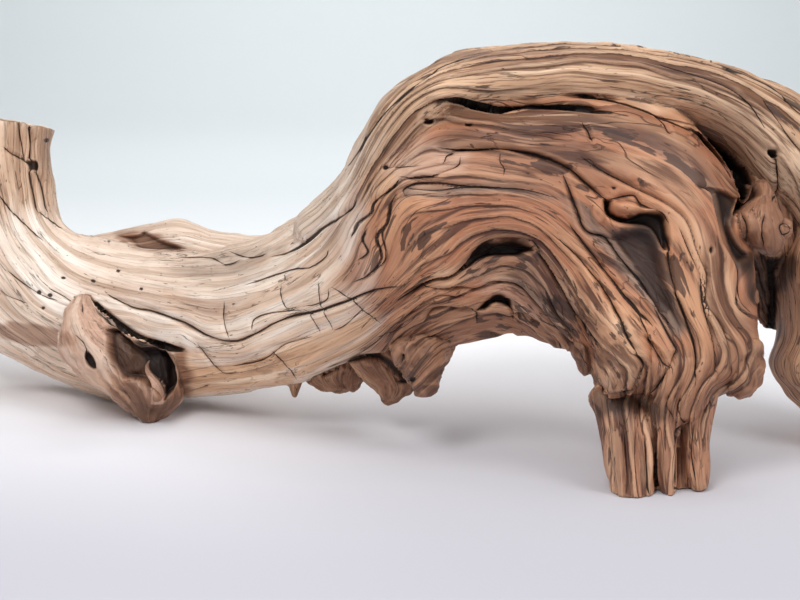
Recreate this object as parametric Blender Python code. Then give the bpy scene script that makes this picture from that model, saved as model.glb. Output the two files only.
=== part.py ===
"""A weathered driftwood branch that stands on its own: one grown piece of wood, so one solid.

A limb, sawn off short at its raised left end, runs to the right and forward, rises into a broad
arch and comes down as a curtain of folded wood over a short leg. An outer layer of the arch, the
crown, passes on to the right and down to a second leg. A smaller limb runs behind the first one.

The branch is set out as it is seen from the front, from an eye above the floor: every rib is given
by two points of an upright picture, 800 units wide and counted from its top left corner, and by how
far behind the picture plane it lies. VIEW_WIDTH gives those units their real size.
"""

import math

import bpy
import numpy as np

# Real sizes, in metres.
VIEW_WIDTH = 0.600  # what the 800 units of the picture span at the front leg
VIEW_DISTANCE = 1.350  # from the eye to the picture plane
VOXEL = 0.0022  # grid on which the limbs grow together
FLOOR_BLOCK = 2.0  # side of the block that cuts the feet level
VIEW_TILT = math.radians(12)  # how far the eye looks down

# The picture, in its own units.
PICTURE_MIDDLE = (400, 300)
FOOT = (658, 484)  # middle of the front leg's sole, which lies in the picture plane

UNIT = VIEW_WIDTH / 800
MM = 0.001

RING_POINTS = 28
RINGS_PER_RIB = 4
SMOOTHING_PASSES = 4
TRIANGLES = 11300

RIGHT = np.array((1.0, 0.0, 0.0))
UP = np.array((0.0, math.sin(VIEW_TILT), math.cos(VIEW_TILT)))
INTO = np.array((0.0, math.cos(VIEW_TILT), -math.sin(VIEW_TILT)))
PLANE_MIDDLE = -UNIT * ((FOOT[0] - PICTURE_MIDDLE[0]) * RIGHT + (PICTURE_MIDDLE[1] - FOOT[1]) * UP)

# Each limb is a row of ribs: (one edge), (other edge), mm behind the picture plane, mm half depth.
TRUNK = [
    ((55, 129), (-92, 116), 284, 50),
    ((50, 150), (-96, 152), 284, 52),
    ((54, 185), (-95, 208), 281, 54),
    ((60, 215), (-76, 268), 277, 56),
    ((73, 231), (-38, 325), 270, 58),
    ((96, 237), (8, 358), 260, 60),
    ((122, 243), (68, 384), 248, 60),
    ((158, 250), (128, 401), 230, 60),
    ((202, 251), (190, 398), 206, 60),
    ((245, 243), (242, 393), 180, 60),
    ((288, 228), (297, 383), 152, 62),
    ((318, 208), (345, 362), 124, 66),
    ((341, 180), (385, 352), 98, 72),
    ((360, 145), (420, 348), 80, 77),
    ((392, 106), (447, 345), 66, 80),
    ((436, 80), (472, 341), 56, 82),
    ((485, 66), (494, 335), 50, 82),
    ((545, 60), (510, 332), 45, 80),
    ((605, 68), (532, 336), 40, 78),
    ((655, 90), (553, 345), 34, 74),
    ((698, 128), (572, 353), 28, 70),
    ((728, 172), (586, 364), 22, 66),
    ((745, 222), (592, 376), 16, 61),
    ((754, 280), (597, 385), 10, 56),
    ((755, 330), (602, 391), 6, 52),
    ((752, 362), (612, 394), 4, 46),
    ((740, 378), (628, 393), 4, 38),
]
CROWN = [
    ((300, 216), (325, 262), 125, 38),
    ((341, 175), (375, 240), 98, 54),
    ((358, 138), (405, 190), 80, 62),
    ((384, 97), (430, 150), 68, 70),
    ((420, 72), (455, 125), 60, 74),
    ((470, 53), (490, 114), 56, 76),
    ((535, 47), (540, 110), 55, 75),
    ((600, 47), (590, 110), 56, 73),
    ((656, 54), (640, 114), 60, 71),
    ((706, 63), (685, 126), 66, 69),
    ((751, 76), (722, 148), 72, 66),
    ((795, 96), (756, 186), 78, 63),
    ((838, 130), (785, 215), 85, 60),
    ((868, 172), (800, 238), 92, 57),
    ((886, 224), (800, 262), 98, 55),
]
GAP_WALL = [
    ((728, 96), (664, 140), 98, 42),
    ((764, 130), (690, 176), 96, 42),
    ((784, 176), (712, 206), 92, 40),
    ((798, 232), (734, 246), 88, 34),
    ((800, 280), (750, 290), 86, 26),
    ((796, 318), (760, 322), 86, 16),
]
RIGHT_LEG = [
    ((786, 226), (884, 198), 94, 48),
    ((774, 262), (897, 250), 92, 51),
    ((777, 298), (904, 298), 92, 52),
    ((777, 336), (907, 345), 94, 51),
    ((768, 364), (910, 388), 98, 46),
    ((786, 392), (913, 424), 104, 45),
    ((812, 422), (916, 456), 110, 45),
    ((824, 462), (919, 480), 114, 44),
]
BACK_LIMB = [
    ((338, 198), (350, 262), 140, 30),
    ((302, 213), (308, 280), 172, 34),
    ((266, 233), (268, 298), 205, 36),
    ((225, 231), (224, 300), 232, 38),
    ((180, 221), (178, 298), 256, 40),
    ((140, 226), (134, 306), 272, 40),
    ((104, 233), (92, 318), 280, 38),
    ((64, 240), (44, 320), 286, 36),
]
FRONT_LEG = [
    ((606, 362), (714, 362), 4, 38),
    ((594, 388), (715, 390), 2, 39),
    ((592, 408), (713, 408), 0, 38),
    ((599, 432), (709, 432), 0, 36),
    ((604, 455), (710, 455), 0, 35),
    ((608, 478), (709, 474), 0, 34),
    ((610, 498), (708, 492), 0, 34),
]
KNOB = [
    ((750, 184), (768, 184), 14, 12),
    ((743, 204), (775, 200), 6, 16),
    ((731, 222), (783, 216), 0, 19),
    ((736, 240), (783, 236), 0, 19),
    ((752, 253), (776, 255), 4, 15),
]
KNOB_TWIG = [
    ((766, 214), (764, 238), 2, 9),
    ((780, 219), (779, 238), -6, 8),
    ((790, 222), (789, 235), -10, 6),
]
CLAW = [
    ((80, 294), (92, 299), 194, 12),
    ((66, 308), (104, 312), 180, 24),
    ((61, 334), (130, 332), 171, 34),
    ((67, 358), (172, 352), 170, 37),
    ((92, 382), (182, 384), 174, 34),
    ((116, 400), (180, 402), 180, 30),
    ((128, 414), (166, 416), 182, 24),
    ((136, 424), (163, 424), 182, 20),
]
HANGING_PLATE = [
    ((342, 350), (408, 346), 96, 34),
    ((350, 370), (414, 370), 92, 30),
    ((366, 385), (418, 386), 90, 24),
    ((377, 397), (406, 396), 90, 16),
]
REAR_PLATE = [
    ((306, 364), (372, 358), 136, 30),
    ((306, 377), (364, 378), 134, 24),
    ((322, 384), (360, 385), 132, 16),
]
INNER_LIP = [
    ((386, 336), (472, 332), 62, 50),
    ((392, 360), (447, 352), 54, 40),
    ((408, 376), (440, 374), 48, 26),
    ((420, 388), (438, 388), 44, 12),
]
HEM = [
    ((704, 362), (757, 360), 0, 32),
    ((722, 380), (758, 378), -4, 22),
    ((735, 395), (752, 395), -6, 12),
]
PEG = [
    ((286, 376), (302, 376), 152, 9),
    ((289, 388), (299, 388), 150, 7),
    ((292, 396), (297, 396), 150, 4),
]
UNDER_LOBE = [
    ((568, 344), (590, 350), 20, 26),
    ((574, 358), (590, 362), 18, 18),
    ((581, 368), (590, 370), 18, 8),
]

# Grooves of the front: name, half width in units, depth in mm, points. They fade towards both ends.
GROOVES = [
    ("crown crack", 5, 9, [(416, 108), (440, 100), (468, 101), (500, 108), (540, 104), (575, 105), (612, 112)]),
    ("crown seam", 4, 12, [(600, 96), (640, 105), (668, 116), (700, 132), (722, 152), (740, 176)]),
    ("crown gap", 9, 16, [(706, 136), (724, 156), (738, 176), (746, 196), (740, 214)]),
    ("arch seam", 4, 7, [(436, 148), (480, 147), (520, 152), (555, 160), (580, 172), (600, 192), (620, 200)]),
    ("eye crack", 4, 9, [(392, 304), (418, 288), (445, 275), (460, 266), (476, 250), (500, 241), (534, 245)]),
    ("eye cave", 9, 20, [(466, 258), (486, 246), (508, 247), (532, 249)]),
    ("eye tail", 3.5, 6, [(530, 244), (548, 266), (566, 300), (583, 335), (590, 356)]),
    ("ledge cave", 9, 17, [(448, 316), (474, 312), (490, 300), (508, 300), (518, 312)]),
    ("fold", 4, 6, [(424, 324), (436, 310), (470, 294), (488, 282), (512, 283), (532, 300), (560, 326)]),
    ("lip groove", 4, 7, [(398, 366), (406, 346), (418, 328), (434, 308)]),
    ("limb crack", 4, 8, [(108, 296), (145, 309), (185, 322), (232, 342), (262, 328), (300, 315), (374, 291)]),
    ("claw seam", 6, 18, [(92, 300), (106, 316), (130, 337), (150, 346), (182, 351)]),
    ("upper limb line", 3.5, 6, [(286, 252), (313, 235), (337, 217), (355, 203)]),
    ("sawn end split", 4, 10, [(28, 120), (33, 145), (31, 166), (36, 195), (42, 214)]),
    ("first terrace", 3.5, 4, [(354, 224), (368, 216), (378, 200), (402, 178)]),
    ("second terrace", 3.5, 4, [(384, 226), (388, 207), (404, 190), (440, 187), (510, 190), (545, 184)]),
    ("third terrace", 3.5, 4, [(356, 282), (372, 268), (378, 254), (374, 240), (384, 226)]),
    ("curtain edge", 5, 9, [(706, 184), (720, 206), (730, 240), (742, 272), (742, 304), (750, 318)]),
    ("curtain recess", 9, 13, [(722, 192), (730, 222), (742, 252), (750, 280)]),
    ("curtain fold 1", 4, 6, [(692, 222), (702, 258), (707, 298), (722, 334), (730, 378)]),
    ("curtain fold 2", 4, 6, [(664, 240), (674, 275), (686, 318), (694, 352), (690, 388)]),
    ("curtain fold 3", 5, 7, [(600, 240), (630, 276), (656, 312), (674, 348), (666, 374), (648, 390)]),
    ("curtain fold 4", 4, 6, [(560, 240), (590, 276), (616, 312), (632, 340), (642, 366), (630, 392)]),
    ("curtain fold 5", 4, 5, [(596, 168), (630, 184), (664, 202), (688, 222)]),
    ("leg notch", 4, 14, [(652, 420), (650, 455), (656, 480), (658, 500)]),
    ("leg groove", 5, 15, [(684, 420), (678, 450), (676, 476), (678, 500)]),
    ("leg flute", 5, 5, [(612, 430), (624, 450), (626, 475), (628, 500)]),
    ("right leg split", 4, 6, [(800, 270), (794, 310), (792, 350), (786, 386)]),
]
# Grooves of the back, given where the eye would see them through the wood.
BACK_GROOVES = [
    ("back split", 6, 12, [(120, 330), (190, 322), (260, 312), (330, 270), (390, 220)]),
    ("back seam", 6, 10, [(380, 190), (450, 130), (540, 110), (640, 120), (720, 170)]),
    ("back fold 1", 6, 9, [(430, 300), (470, 220), (540, 190), (600, 210), (640, 290)]),
    ("back fold 2", 6, 9, [(620, 150), (670, 210), (690, 290), (680, 370)]),
    ("back leg flute", 5, 8, [(640, 390), (648, 430), (646, 500)]),
    ("back of right leg", 5, 8, [(840, 200), (852, 280), (850, 380), (868, 440)]),
    ("back of sawn end", 5, 8, [(-40, 115), (-30, 190), (0, 260), (60, 300)]),
]
# Hollows: name, centre, half size across and down in units, turn in degrees, depth in mm.
HOLLOWS = [
    ("knot hollow", (640, 214), (38, 12), 0, 22),
    ("knot hollow side", (663, 232), (10, 20), -15, 20),
    ("dark channel", (648, 272), (22, 58), -28, 9),
    ("claw mouth", (142, 366), (28, 24), 25, 32),
    ("limb pocket", (148, 242), (32, 9), 4, 22),
    ("crown hole", (773, 153), (6, 6), 0, 14),
    ("under arch", (376, 366), (24, 9), 20, 12),
]
BACK_HOLLOWS = [
    ("back rot", (560, 250), (52, 30), 20, 20),
    ("back knot", (300, 300), (16, 12), 0, 12),
    ("back pocket", (790, 190), (18, 26), -20, 12),
]


def place(x, y, back):
    """The real place, in metres from the front foot, of a picture point that lies `back` metres deep."""
    x, y, back = (np.asarray(value, float)[..., None] for value in (x, y, back))
    spread = UNIT * (1 + back / VIEW_DISTANCE)
    across = spread * (x - PICTURE_MIDDLE[0])
    above = spread * (PICTURE_MIDDLE[1] - y)
    return PLANE_MIDDLE + back * INTO + across * RIGHT + above * UP


def picture(points):
    """Where the eye sees real points in the picture, as (n, 2)."""
    offset = points - PLANE_MIDDLE
    shrink = 1 / (UNIT * (1 + offset @ INTO / VIEW_DISTANCE))
    return np.stack(
        (PICTURE_MIDDLE[0] + (offset @ RIGHT) * shrink, PICTURE_MIDDLE[1] - (offset @ UP) * shrink), axis=1
    )


def smooth_rows(rows, steps):
    """Rows read from a Catmull-Rom curve through the given rows, `steps` to a span."""
    rows = np.asarray(rows, float)
    padded = np.vstack((2 * rows[0] - rows[1], rows, 2 * rows[-1] - rows[-2]))
    found = []
    for i in range(len(rows) - 1):
        p0, p1, p2, p3 = padded[i : i + 4]
        for t in np.arange(steps) / steps:
            found.append(
                0.5 * (2 * p1 + (p2 - p0) * t + (2 * p0 - 5 * p1 + 4 * p2 - p3) * t**2 + (3 * p1 - p0 - 3 * p2 + p3) * t**3)
            )
    found.append(rows[-1])
    return np.array(found)


def rounded_end(centre, across, depth, outward, length):
    """Three shrinking rings that close a limb's end: (centre, across, depth) each."""
    turns = [math.radians(angle) for angle in (30, 58, 80)]
    return [
        (centre + outward * length * math.sin(turn), across * math.cos(turn), depth * math.cos(turn))
        for turn in turns
    ]


def limb_mesh(ribs, start_bulge=0.7, end_bulge=0.7):
    """Points and faces of a closed limb lofted through its ribs, with ends rounded by their bulge."""
    rows = smooth_rows([(*one, *other, back, half) for one, other, back, half in ribs], RINGS_PER_RIB)
    one = place(rows[:, 0], rows[:, 1], rows[:, 4] * MM)
    other = place(rows[:, 2], rows[:, 3], rows[:, 4] * MM)
    centres, across = (one + other) / 2, (one - other) / 2
    depth = rows[:, 5:6] * MM * INTO
    rings = list(zip(centres, across, depth))
    for end, beside, bulge in ((0, 1, start_bulge), (-1, -2, end_bulge)):
        outward = centres[end] - centres[beside]
        outward /= np.linalg.norm(outward)
        length = bulge * min(np.linalg.norm(across[end]), np.linalg.norm(depth[end]))
        cap = rounded_end(centres[end], across[end], depth[end], outward, length)
        rings = cap[::-1] + rings if end == 0 else rings + cap
    turn = np.arange(RING_POINTS) * 2 * math.pi / RING_POINTS
    points = np.concatenate(
        [c + np.outer(np.cos(turn), a) + np.outer(np.sin(turn), d) for c, a, d in rings]
    )
    faces = []
    for ring in range(len(rings) - 1):
        start, following = ring * RING_POINTS, (ring + 1) * RING_POINTS
        for k in range(RING_POINTS):
            n = (k + 1) % RING_POINTS
            faces.append((start + k, start + n, following + n, following + k))
    faces.append(tuple(range(RING_POINTS))[::-1])
    faces.append(tuple(range(len(points) - RING_POINTS, len(points))))
    return points, faces


def object_of(name, points, faces):
    mesh = bpy.data.meshes.new(name)
    mesh.from_pydata([tuple(point) for point in points], [], faces)
    mesh.update()
    obj = bpy.data.objects.new(name, mesh)
    bpy.context.scene.collection.objects.link(obj)
    return obj


def apply_modifiers(obj):
    """Bakes the object's modifiers into its mesh, so that its points can be moved by formula."""
    graph = bpy.context.evaluated_depsgraph_get()
    obj.data = bpy.data.meshes.new_from_object(obj.evaluated_get(graph))
    obj.modifiers.clear()


def grown_together(limbs):
    """One closed skin round all the limbs, with the joins between them softened."""
    points, faces, count = [], [], 0
    for own_points, own_faces in limbs:
        points.append(own_points)
        faces += [tuple(i + count for i in face) for face in own_faces]
        count += len(own_points)
    branch = object_of("branch", np.concatenate(points), faces)
    remesh = branch.modifiers.new("one skin", "REMESH")
    remesh.mode = "VOXEL"
    remesh.voxel_size = VOXEL
    soften = branch.modifiers.new("soft joins", "SMOOTH")
    soften.factor = 0.6
    soften.iterations = SMOOTHING_PASSES
    apply_modifiers(branch)
    return branch


def points_of(mesh):
    points = np.empty(len(mesh.vertices) * 3)
    mesh.vertices.foreach_get("co", points)
    return points.reshape(-1, 3)


def normals_of(mesh):
    normals = np.empty(len(mesh.vertices) * 3)
    mesh.vertices.foreach_get("normal", normals)
    return normals.reshape(-1, 3)


def along_polyline(seen, corners):
    """Each seen point's distance to a polyline, and how far along it the nearest place is, from 0 to 1."""
    corners = np.asarray(corners, float)
    spans = np.diff(corners, axis=0)
    lengths = np.linalg.norm(spans, axis=1)
    starts = np.concatenate(([0], np.cumsum(lengths)))
    nearest, share = np.full(len(seen), np.inf), np.zeros(len(seen))
    for corner, span, length, start in zip(corners, spans, lengths, starts):
        t = np.clip((seen - corner) @ span / length**2, 0, 1)
        gap = np.linalg.norm(seen - corner - t[:, None] * span, axis=1)
        closer = gap < nearest
        nearest[closer] = gap[closer]
        share[closer] = (start + t[closer] * length) / starts[-1]
    return nearest, share


def groove_depth(seen, half_width, depth, corners):
    """How deep, in metres, one groove cuts at each seen point."""
    points = smooth_rows(corners, RINGS_PER_RIB)
    gap, share = along_polyline(seen, points)
    fade = np.minimum(1, 5 * np.minimum(share, 1 - share) + 0.25)
    reach = half_width * fade
    return depth * MM * fade * np.clip(1 - (gap / reach) ** 2, 0, 1)


def hollow_depth(seen, centre, half_size, turn, depth):
    """How deep, in metres, one oval hollow cuts at each seen point."""
    angle = math.radians(turn)
    offset = seen - np.asarray(centre, float)
    across = (offset[:, 0] * math.cos(angle) - offset[:, 1] * math.sin(angle)) / half_size[0]
    down = (offset[:, 0] * math.sin(angle) + offset[:, 1] * math.cos(angle)) / half_size[1]
    inside = np.clip(1 - across**2 - down**2, 0, 1)
    return depth * MM * np.sqrt(inside)


def lattice_noise(points, seed):
    """Smooth noise from -1 to 1, with one bump to a unit of `points`."""
    random = np.random.default_rng(seed)
    table = random.uniform(-1, 1, 4096)
    base = np.floor(points).astype(np.int64)
    part = points - base
    part = part * part * (3 - 2 * part)
    total = np.zeros(len(points))
    for dx in (0, 1):
        for dy in (0, 1):
            for dz in (0, 1):
                key = (base[:, 0] + dx) * 73856093 ^ (base[:, 1] + dy) * 19349663 ^ (base[:, 2] + dz) * 83492791
                weight = (
                    np.abs(1 - dx - part[:, 0]) * np.abs(1 - dy - part[:, 1]) * np.abs(1 - dz - part[:, 2])
                )
                total += weight * table[key % 4096]
    return total


def deepest_groove(seen, grooves):
    depths = [groove_depth(seen, half_width, depth, corners) for _name, half_width, depth, corners in grooves]
    return np.max(depths, axis=0)


def deepest_hollow(seen, hollows):
    depths = [hollow_depth(seen, *shape) for _name, *shape in hollows]
    return np.max(depths, axis=0)


def carve(branch):
    """Moves the skin: gentle lumps all round, then the grooves and hollows of the front and the back."""
    points, normals = points_of(branch.data), normals_of(branch.data)
    seen = picture(points)
    to_eye = PLANE_MIDDLE - VIEW_DISTANCE * INTO - points
    to_eye /= np.linalg.norm(to_eye, axis=1)[:, None]
    turned = 3 * np.einsum("ij,ij->i", normals, to_eye)
    front, back = np.clip(turned, 0, 1), np.clip(-turned, 0, 1)
    lumps = 0.0022 * lattice_noise(points / 0.030, 3) + 0.0010 * lattice_noise(points / 0.012, 4)
    grooves = deepest_groove(seen, GROOVES) * front + deepest_groove(seen, BACK_GROOVES) * back
    hollows = deepest_hollow(seen, HOLLOWS) * front - deepest_hollow(seen, BACK_HOLLOWS) * back
    points += normals * (lumps - grooves)[:, None] + INTO * hollows[:, None]
    branch.data.vertices.foreach_set("co", points.ravel())
    branch.data.update()


def reduce_to(branch, triangles):
    """Fewer faces, kept where the form needs them."""
    branch.data.calc_loop_triangles()
    decimate = branch.modifiers.new("fewer faces", "DECIMATE")
    decimate.ratio = triangles / len(branch.data.loop_triangles)
    decimate.use_collapse_triangulate = True
    apply_modifiers(branch)


def cut_level(branch):
    """Cuts the three feet level with the floor that the branch stands on."""
    half = FLOOR_BLOCK / 2
    corners = [(x, y, z) for x in (-half, half) for y in (-half, half) for z in (-FLOOR_BLOCK, 0)]
    sides = [(0, 1, 3, 2), (4, 6, 7, 5), (0, 4, 5, 1), (2, 3, 7, 6), (0, 2, 6, 4), (1, 5, 7, 3)]
    floor = object_of("floor_cutter", corners, sides)
    floor.hide_render = True
    floor.display_type = "WIRE"
    level = branch.modifiers.new("level feet", "BOOLEAN")
    level.operation = "DIFFERENCE"
    level.object = floor
    apply_modifiers(branch)
    bpy.data.objects.remove(floor)


def stand_on_origin(branch):
    """Moves the branch so that the origin is under the middle of its box; returns how far it moved."""
    points = points_of(branch.data)
    low, high = points.min(axis=0), points.max(axis=0)
    shift = np.array((-(low[0] + high[0]) / 2, -(low[1] + high[1]) / 2, -low[2]))
    branch.data.vertices.foreach_set("co", (points + shift).ravel())
    branch.data.update()
    return shift


def driftwood():
    material = bpy.data.materials.new("driftwood")
    material.use_nodes = True
    surface = material.node_tree.nodes["Principled BSDF"]
    surface.inputs["Base Color"].default_value = (0.36, 0.21, 0.12, 1)
    surface.inputs["Roughness"].default_value = 0.62
    surface.inputs["Metallic"].default_value = 0.0
    return material


def build():
    for obj in list(bpy.data.objects):
        bpy.data.objects.remove(obj)
    limbs = [
        limb_mesh(TRUNK, start_bulge=0.04, end_bulge=0.3),
        limb_mesh(CROWN, end_bulge=0.5),
        limb_mesh(KNOB_TWIG, end_bulge=0.2),
    ]
    limbs += [limb_mesh(ribs) for ribs in (GAP_WALL, RIGHT_LEG, BACK_LIMB, FRONT_LEG, KNOB, CLAW)]
    limbs += [limb_mesh(ribs) for ribs in (HANGING_PLATE, REAR_PLATE, INNER_LIP, HEM, PEG, UNDER_LOBE)]
    branch = grown_together(limbs)
    carve(branch)
    reduce_to(branch, TRIANGLES)
    cut_level(branch)
    branch["front_foot"] = stand_on_origin(branch).tolist()
    branch.data.materials.append(driftwood())


build()
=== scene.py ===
"""The looks of the driftwood branch: one skin of weathered wood over the limbs of the solid.

The skin is set out as the solid is, from the same ribs, and is then carved by formula: traced
cracks, ledges, hollows and holes on the side that the photo shows, and seeded ones elsewhere.
Picture points are in units of an upright picture, 800 wide, seen by an eye above the floor.
"""

import math

import bpy
import numpy as np
from mathutils import Matrix, Vector
from mathutils.bvhtree import BVHTree


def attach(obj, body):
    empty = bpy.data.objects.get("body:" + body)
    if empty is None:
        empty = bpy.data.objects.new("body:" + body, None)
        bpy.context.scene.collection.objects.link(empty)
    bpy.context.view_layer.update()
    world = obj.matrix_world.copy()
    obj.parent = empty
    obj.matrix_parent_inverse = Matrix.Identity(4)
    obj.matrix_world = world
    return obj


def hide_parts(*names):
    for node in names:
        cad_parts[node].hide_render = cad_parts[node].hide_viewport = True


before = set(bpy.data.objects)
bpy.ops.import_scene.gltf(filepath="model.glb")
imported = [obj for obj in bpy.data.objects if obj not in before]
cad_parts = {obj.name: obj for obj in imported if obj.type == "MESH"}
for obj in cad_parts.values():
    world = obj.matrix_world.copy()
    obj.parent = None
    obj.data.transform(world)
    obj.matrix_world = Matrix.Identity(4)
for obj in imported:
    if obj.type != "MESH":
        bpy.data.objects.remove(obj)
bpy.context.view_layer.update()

# Setting out, as in the solid.
VIEW_WIDTH = 0.600  # metres that the picture's 800 units span at the front leg
VIEW_DISTANCE = 1.350
VIEW_TILT = math.radians(12)
PICTURE_MIDDLE = (400, 300)
FOOT = (658, 484)  # middle of the front leg's sole in the picture
FRONT_FOOT = np.array((0.21147, -0.17687, 0.0))  # the same place in the frame
UNIT = VIEW_WIDTH / 800
MM = 0.001

RIGHT = np.array((1.0, 0.0, 0.0))
UP = np.array((0.0, math.sin(VIEW_TILT), math.cos(VIEW_TILT)))
INTO = np.array((0.0, math.cos(VIEW_TILT), -math.sin(VIEW_TILT)))
PLANE_MIDDLE = FRONT_FOOT - UNIT * (
    (FOOT[0] - PICTURE_MIDDLE[0]) * RIGHT + (PICTURE_MIDDLE[1] - FOOT[1]) * UP
)
EYE = PLANE_MIDDLE - VIEW_DISTANCE * INTO

# Fineness of the skin.
VOXEL = 0.00122
LAYER = 0.0078  # how thick a grown layer is where it has worn to a ledge
RINGS = 3.3  # finer rings in each layer
SMOOTHING_RADIUS = 0.0033  # how far the joins between limbs are softened
RING_POINTS = 72
RINGS_PER_RIB = 8
TRIANGLES = 940000  # in the whole skin, thinned behind and not in front
PIECE_TRIANGLES = 195000  # the skin is cut into slices no larger than this
CAP_TURNS = (15, 30, 45, 58, 70, 80)  # degrees, one for each ring that closes a limb's end
HIDDEN_BEYOND = 0.012  # metres behind the nearest skin at which a point counts as hidden
CUT_PALE = 0.35  # how bleached the sawn end is

# The studio, in metres. The sweep is flat between its ends and rises in a quarter round beyond.
SWEEP_FRONT, SWEEP_START = -7.0, 2.2
SWEEP_HALF_WIDTH = 9.0
SWEEP_GAP = 0.0004  # how far the floor lies below the soles
# Painted light: the floor is painted darker in front, as if the light fell off towards the eye, and
# brightest under the branch, to lift the shade there.
SWEEP_PAINTS = ((196, 195, 203), (250, 250, 253), (214, 220, 222))  # before, under and behind the branch
PAINT_JOINS = ((-0.40, 0.25), (0.3, 1.4))  # from where to where one paint runs into the next
GLOW = (0.9, 3.2, 0.55)  # far out the sweep glows a little: from, to, and how strongly
AIR = (0.93, 0.96, 1.0, 1)
AIR_STRENGTH = 0.22
# Lamps: place, what it is aimed at, size, and power in watts.
LAMPS = {
    "ceiling": ((0.0, -0.25, 1.70), (0.0, -0.25, 0.0), 2.4, 20),
    "key": ((-0.55, -1.4, 1.55), (0.0, 0.0, 0.10), 0.8, 17),
    "fill": ((1.2, -1.2, 1.3), (0.0, 0.0, 0.12), 0.9, 12),
    "backdrop": ((0.0, 1.70, 1.80), (0.0, 2.6, 0.0), 1.6, 31),
}

# Each limb is a row of ribs: (one edge), (other edge), mm behind the picture plane, mm half depth.
TRUNK = [
    ((55, 129), (-92, 116), 284, 50),
    ((50, 150), (-96, 152), 284, 52),
    ((54, 185), (-95, 208), 281, 54),
    ((60, 215), (-76, 268), 277, 56),
    ((73, 231), (-38, 325), 270, 58),
    ((96, 237), (8, 358), 260, 60),
    ((122, 243), (68, 384), 248, 60),
    ((158, 250), (128, 401), 230, 60),
    ((202, 251), (190, 398), 206, 60),
    ((245, 243), (242, 393), 180, 60),
    ((288, 228), (297, 383), 152, 62),
    ((318, 208), (345, 362), 124, 66),
    ((341, 180), (385, 352), 98, 72),
    ((360, 145), (420, 348), 80, 77),
    ((392, 106), (447, 345), 66, 80),
    ((436, 80), (472, 341), 56, 82),
    ((485, 66), (494, 335), 50, 82),
    ((545, 60), (510, 332), 45, 80),
    ((605, 68), (532, 336), 40, 78),
    ((655, 90), (553, 345), 34, 74),
    ((698, 128), (572, 353), 28, 70),
    ((728, 172), (586, 364), 22, 66),
    ((745, 222), (592, 376), 16, 61),
    ((754, 280), (597, 385), 10, 56),
    ((755, 330), (602, 391), 6, 52),
    ((752, 362), (612, 394), 4, 46),
    ((740, 378), (628, 393), 4, 38),
]
CROWN = [
    ((300, 216), (325, 266), 122, 38),
    ((341, 175), (375, 246), 94, 54),
    ((358, 138), (405, 200), 76, 63),
    ((384, 97), (430, 162), 62, 71),
    ((420, 72), (455, 136), 54, 76),
    ((470, 53), (490, 124), 50, 78),
    ((535, 47), (540, 121), 49, 78),
    ((600, 47), (590, 121), 51, 76),
    ((656, 54), (640, 124), 56, 73),
    ((706, 63), (685, 133), 64, 70),
    ((751, 76), (722, 152), 71, 66),
    ((795, 96), (756, 188), 78, 63),
    ((838, 130), (785, 215), 85, 59),
    ((868, 172), (798, 238), 91, 54),
    ((886, 222), (797, 256), 93, 50),
    ((887, 262), (802, 284), 93, 42),
]
GAP_WALL = [
    ((728, 96), (664, 140), 98, 42),
    ((764, 130), (690, 176), 96, 42),
    ((784, 176), (712, 206), 92, 40),
    ((798, 232), (734, 246), 98, 34),
    ((800, 280), (750, 290), 112, 24),
    ((796, 316), (762, 320), 116, 14),
]
RIGHT_LEG = [
    ((798, 194), (862, 172), 91, 43),
    ((788, 232), (884, 216), 93, 48),
    ((777, 268), (893, 257), 93, 51),
    ((777, 302), (899, 298), 93, 52),
    ((777, 336), (904, 345), 94, 51),
    ((768, 364), (910, 388), 98, 46),
    ((786, 392), (913, 424), 104, 45),
    ((812, 422), (916, 456), 110, 45),
    ((824, 462), (919, 480), 114, 44),
]
BACK_LIMB = [
    ((338, 198), (350, 262), 140, 30),
    ((302, 213), (308, 280), 172, 34),
    ((266, 233), (268, 298), 205, 36),
    ((225, 231), (224, 300), 232, 38),
    ((180, 221), (178, 298), 256, 40),
    ((140, 226), (134, 306), 272, 40),
    ((104, 233), (92, 318), 280, 38),
    ((64, 240), (44, 320), 286, 36),
]
FRONT_LEG = [
    ((606, 362), (712, 362), 10, 36),
    ((594, 388), (713, 388), 10, 33),
    ((591, 404), (711, 406), 10, 30),
    ((597, 424), (708, 428), 10, 27),
    ((602, 448), (708, 452), 10, 25),
    ((607, 476), (708, 474), 10, 25),
    ((610, 496), (707, 490), 10, 25),
]
LEG_LOBE_LEFT = [
    ((592, 396), (640, 400), -12, 14),
    ((597, 420), (654, 424), -16, 17),
    ((604, 455), (655, 455), -16, 18),
    ((609, 480), (655, 480), -15, 18),
    ((611, 499), (655, 499), -14, 17),
]
LEG_LOBE_MIDDLE = [
    ((648, 404), (690, 400), -24, 14),
    ((651, 428), (680, 428), -24, 13),
    ((652, 456), (677, 456), -20, 13),
    ((657, 480), (677, 480), -17, 12),
    ((662, 497), (673, 497), -16, 10),
]
LEG_LOBE_RIGHT = [
    ((672, 396), (716, 392), -16, 18),
    ((678, 424), (711, 420), -14, 17),
    ((680, 452), (710, 450), -10, 17),
    ((684, 472), (710, 468), -8, 17),
    ((688, 486), (708, 482), -8, 14),
]
DRAPE_LOBE = [
    ((566, 262), (612, 250), -14, 20),
    ((576, 292), (632, 280), -20, 22),
    ((588, 326), (648, 316), -26, 22),
    ((596, 356), (650, 350), -31, 20),
    ((600, 376), (644, 376), -34, 17),
    ((606, 388), (632, 388), -34, 12),
]
DRAPE_TAIL = [
    ((640, 366), (720, 360), -26, 22),
    ((648, 384), (718, 380), -30, 19),
    ((656, 400), (712, 396), -32, 15),
    ((664, 414), (700, 410), -31, 10),
]
KNOB = [
    ((754, 186), (768, 182), 16, 10),
    ((747, 200), (772, 196), 8, 14),
    ((733, 214), (779, 212), -2, 20),
    ((733, 230), (782, 230), -4, 21),
    ((746, 243), (780, 246), 0, 16),
    ((760, 252), (776, 254), 6, 10),
]
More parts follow.
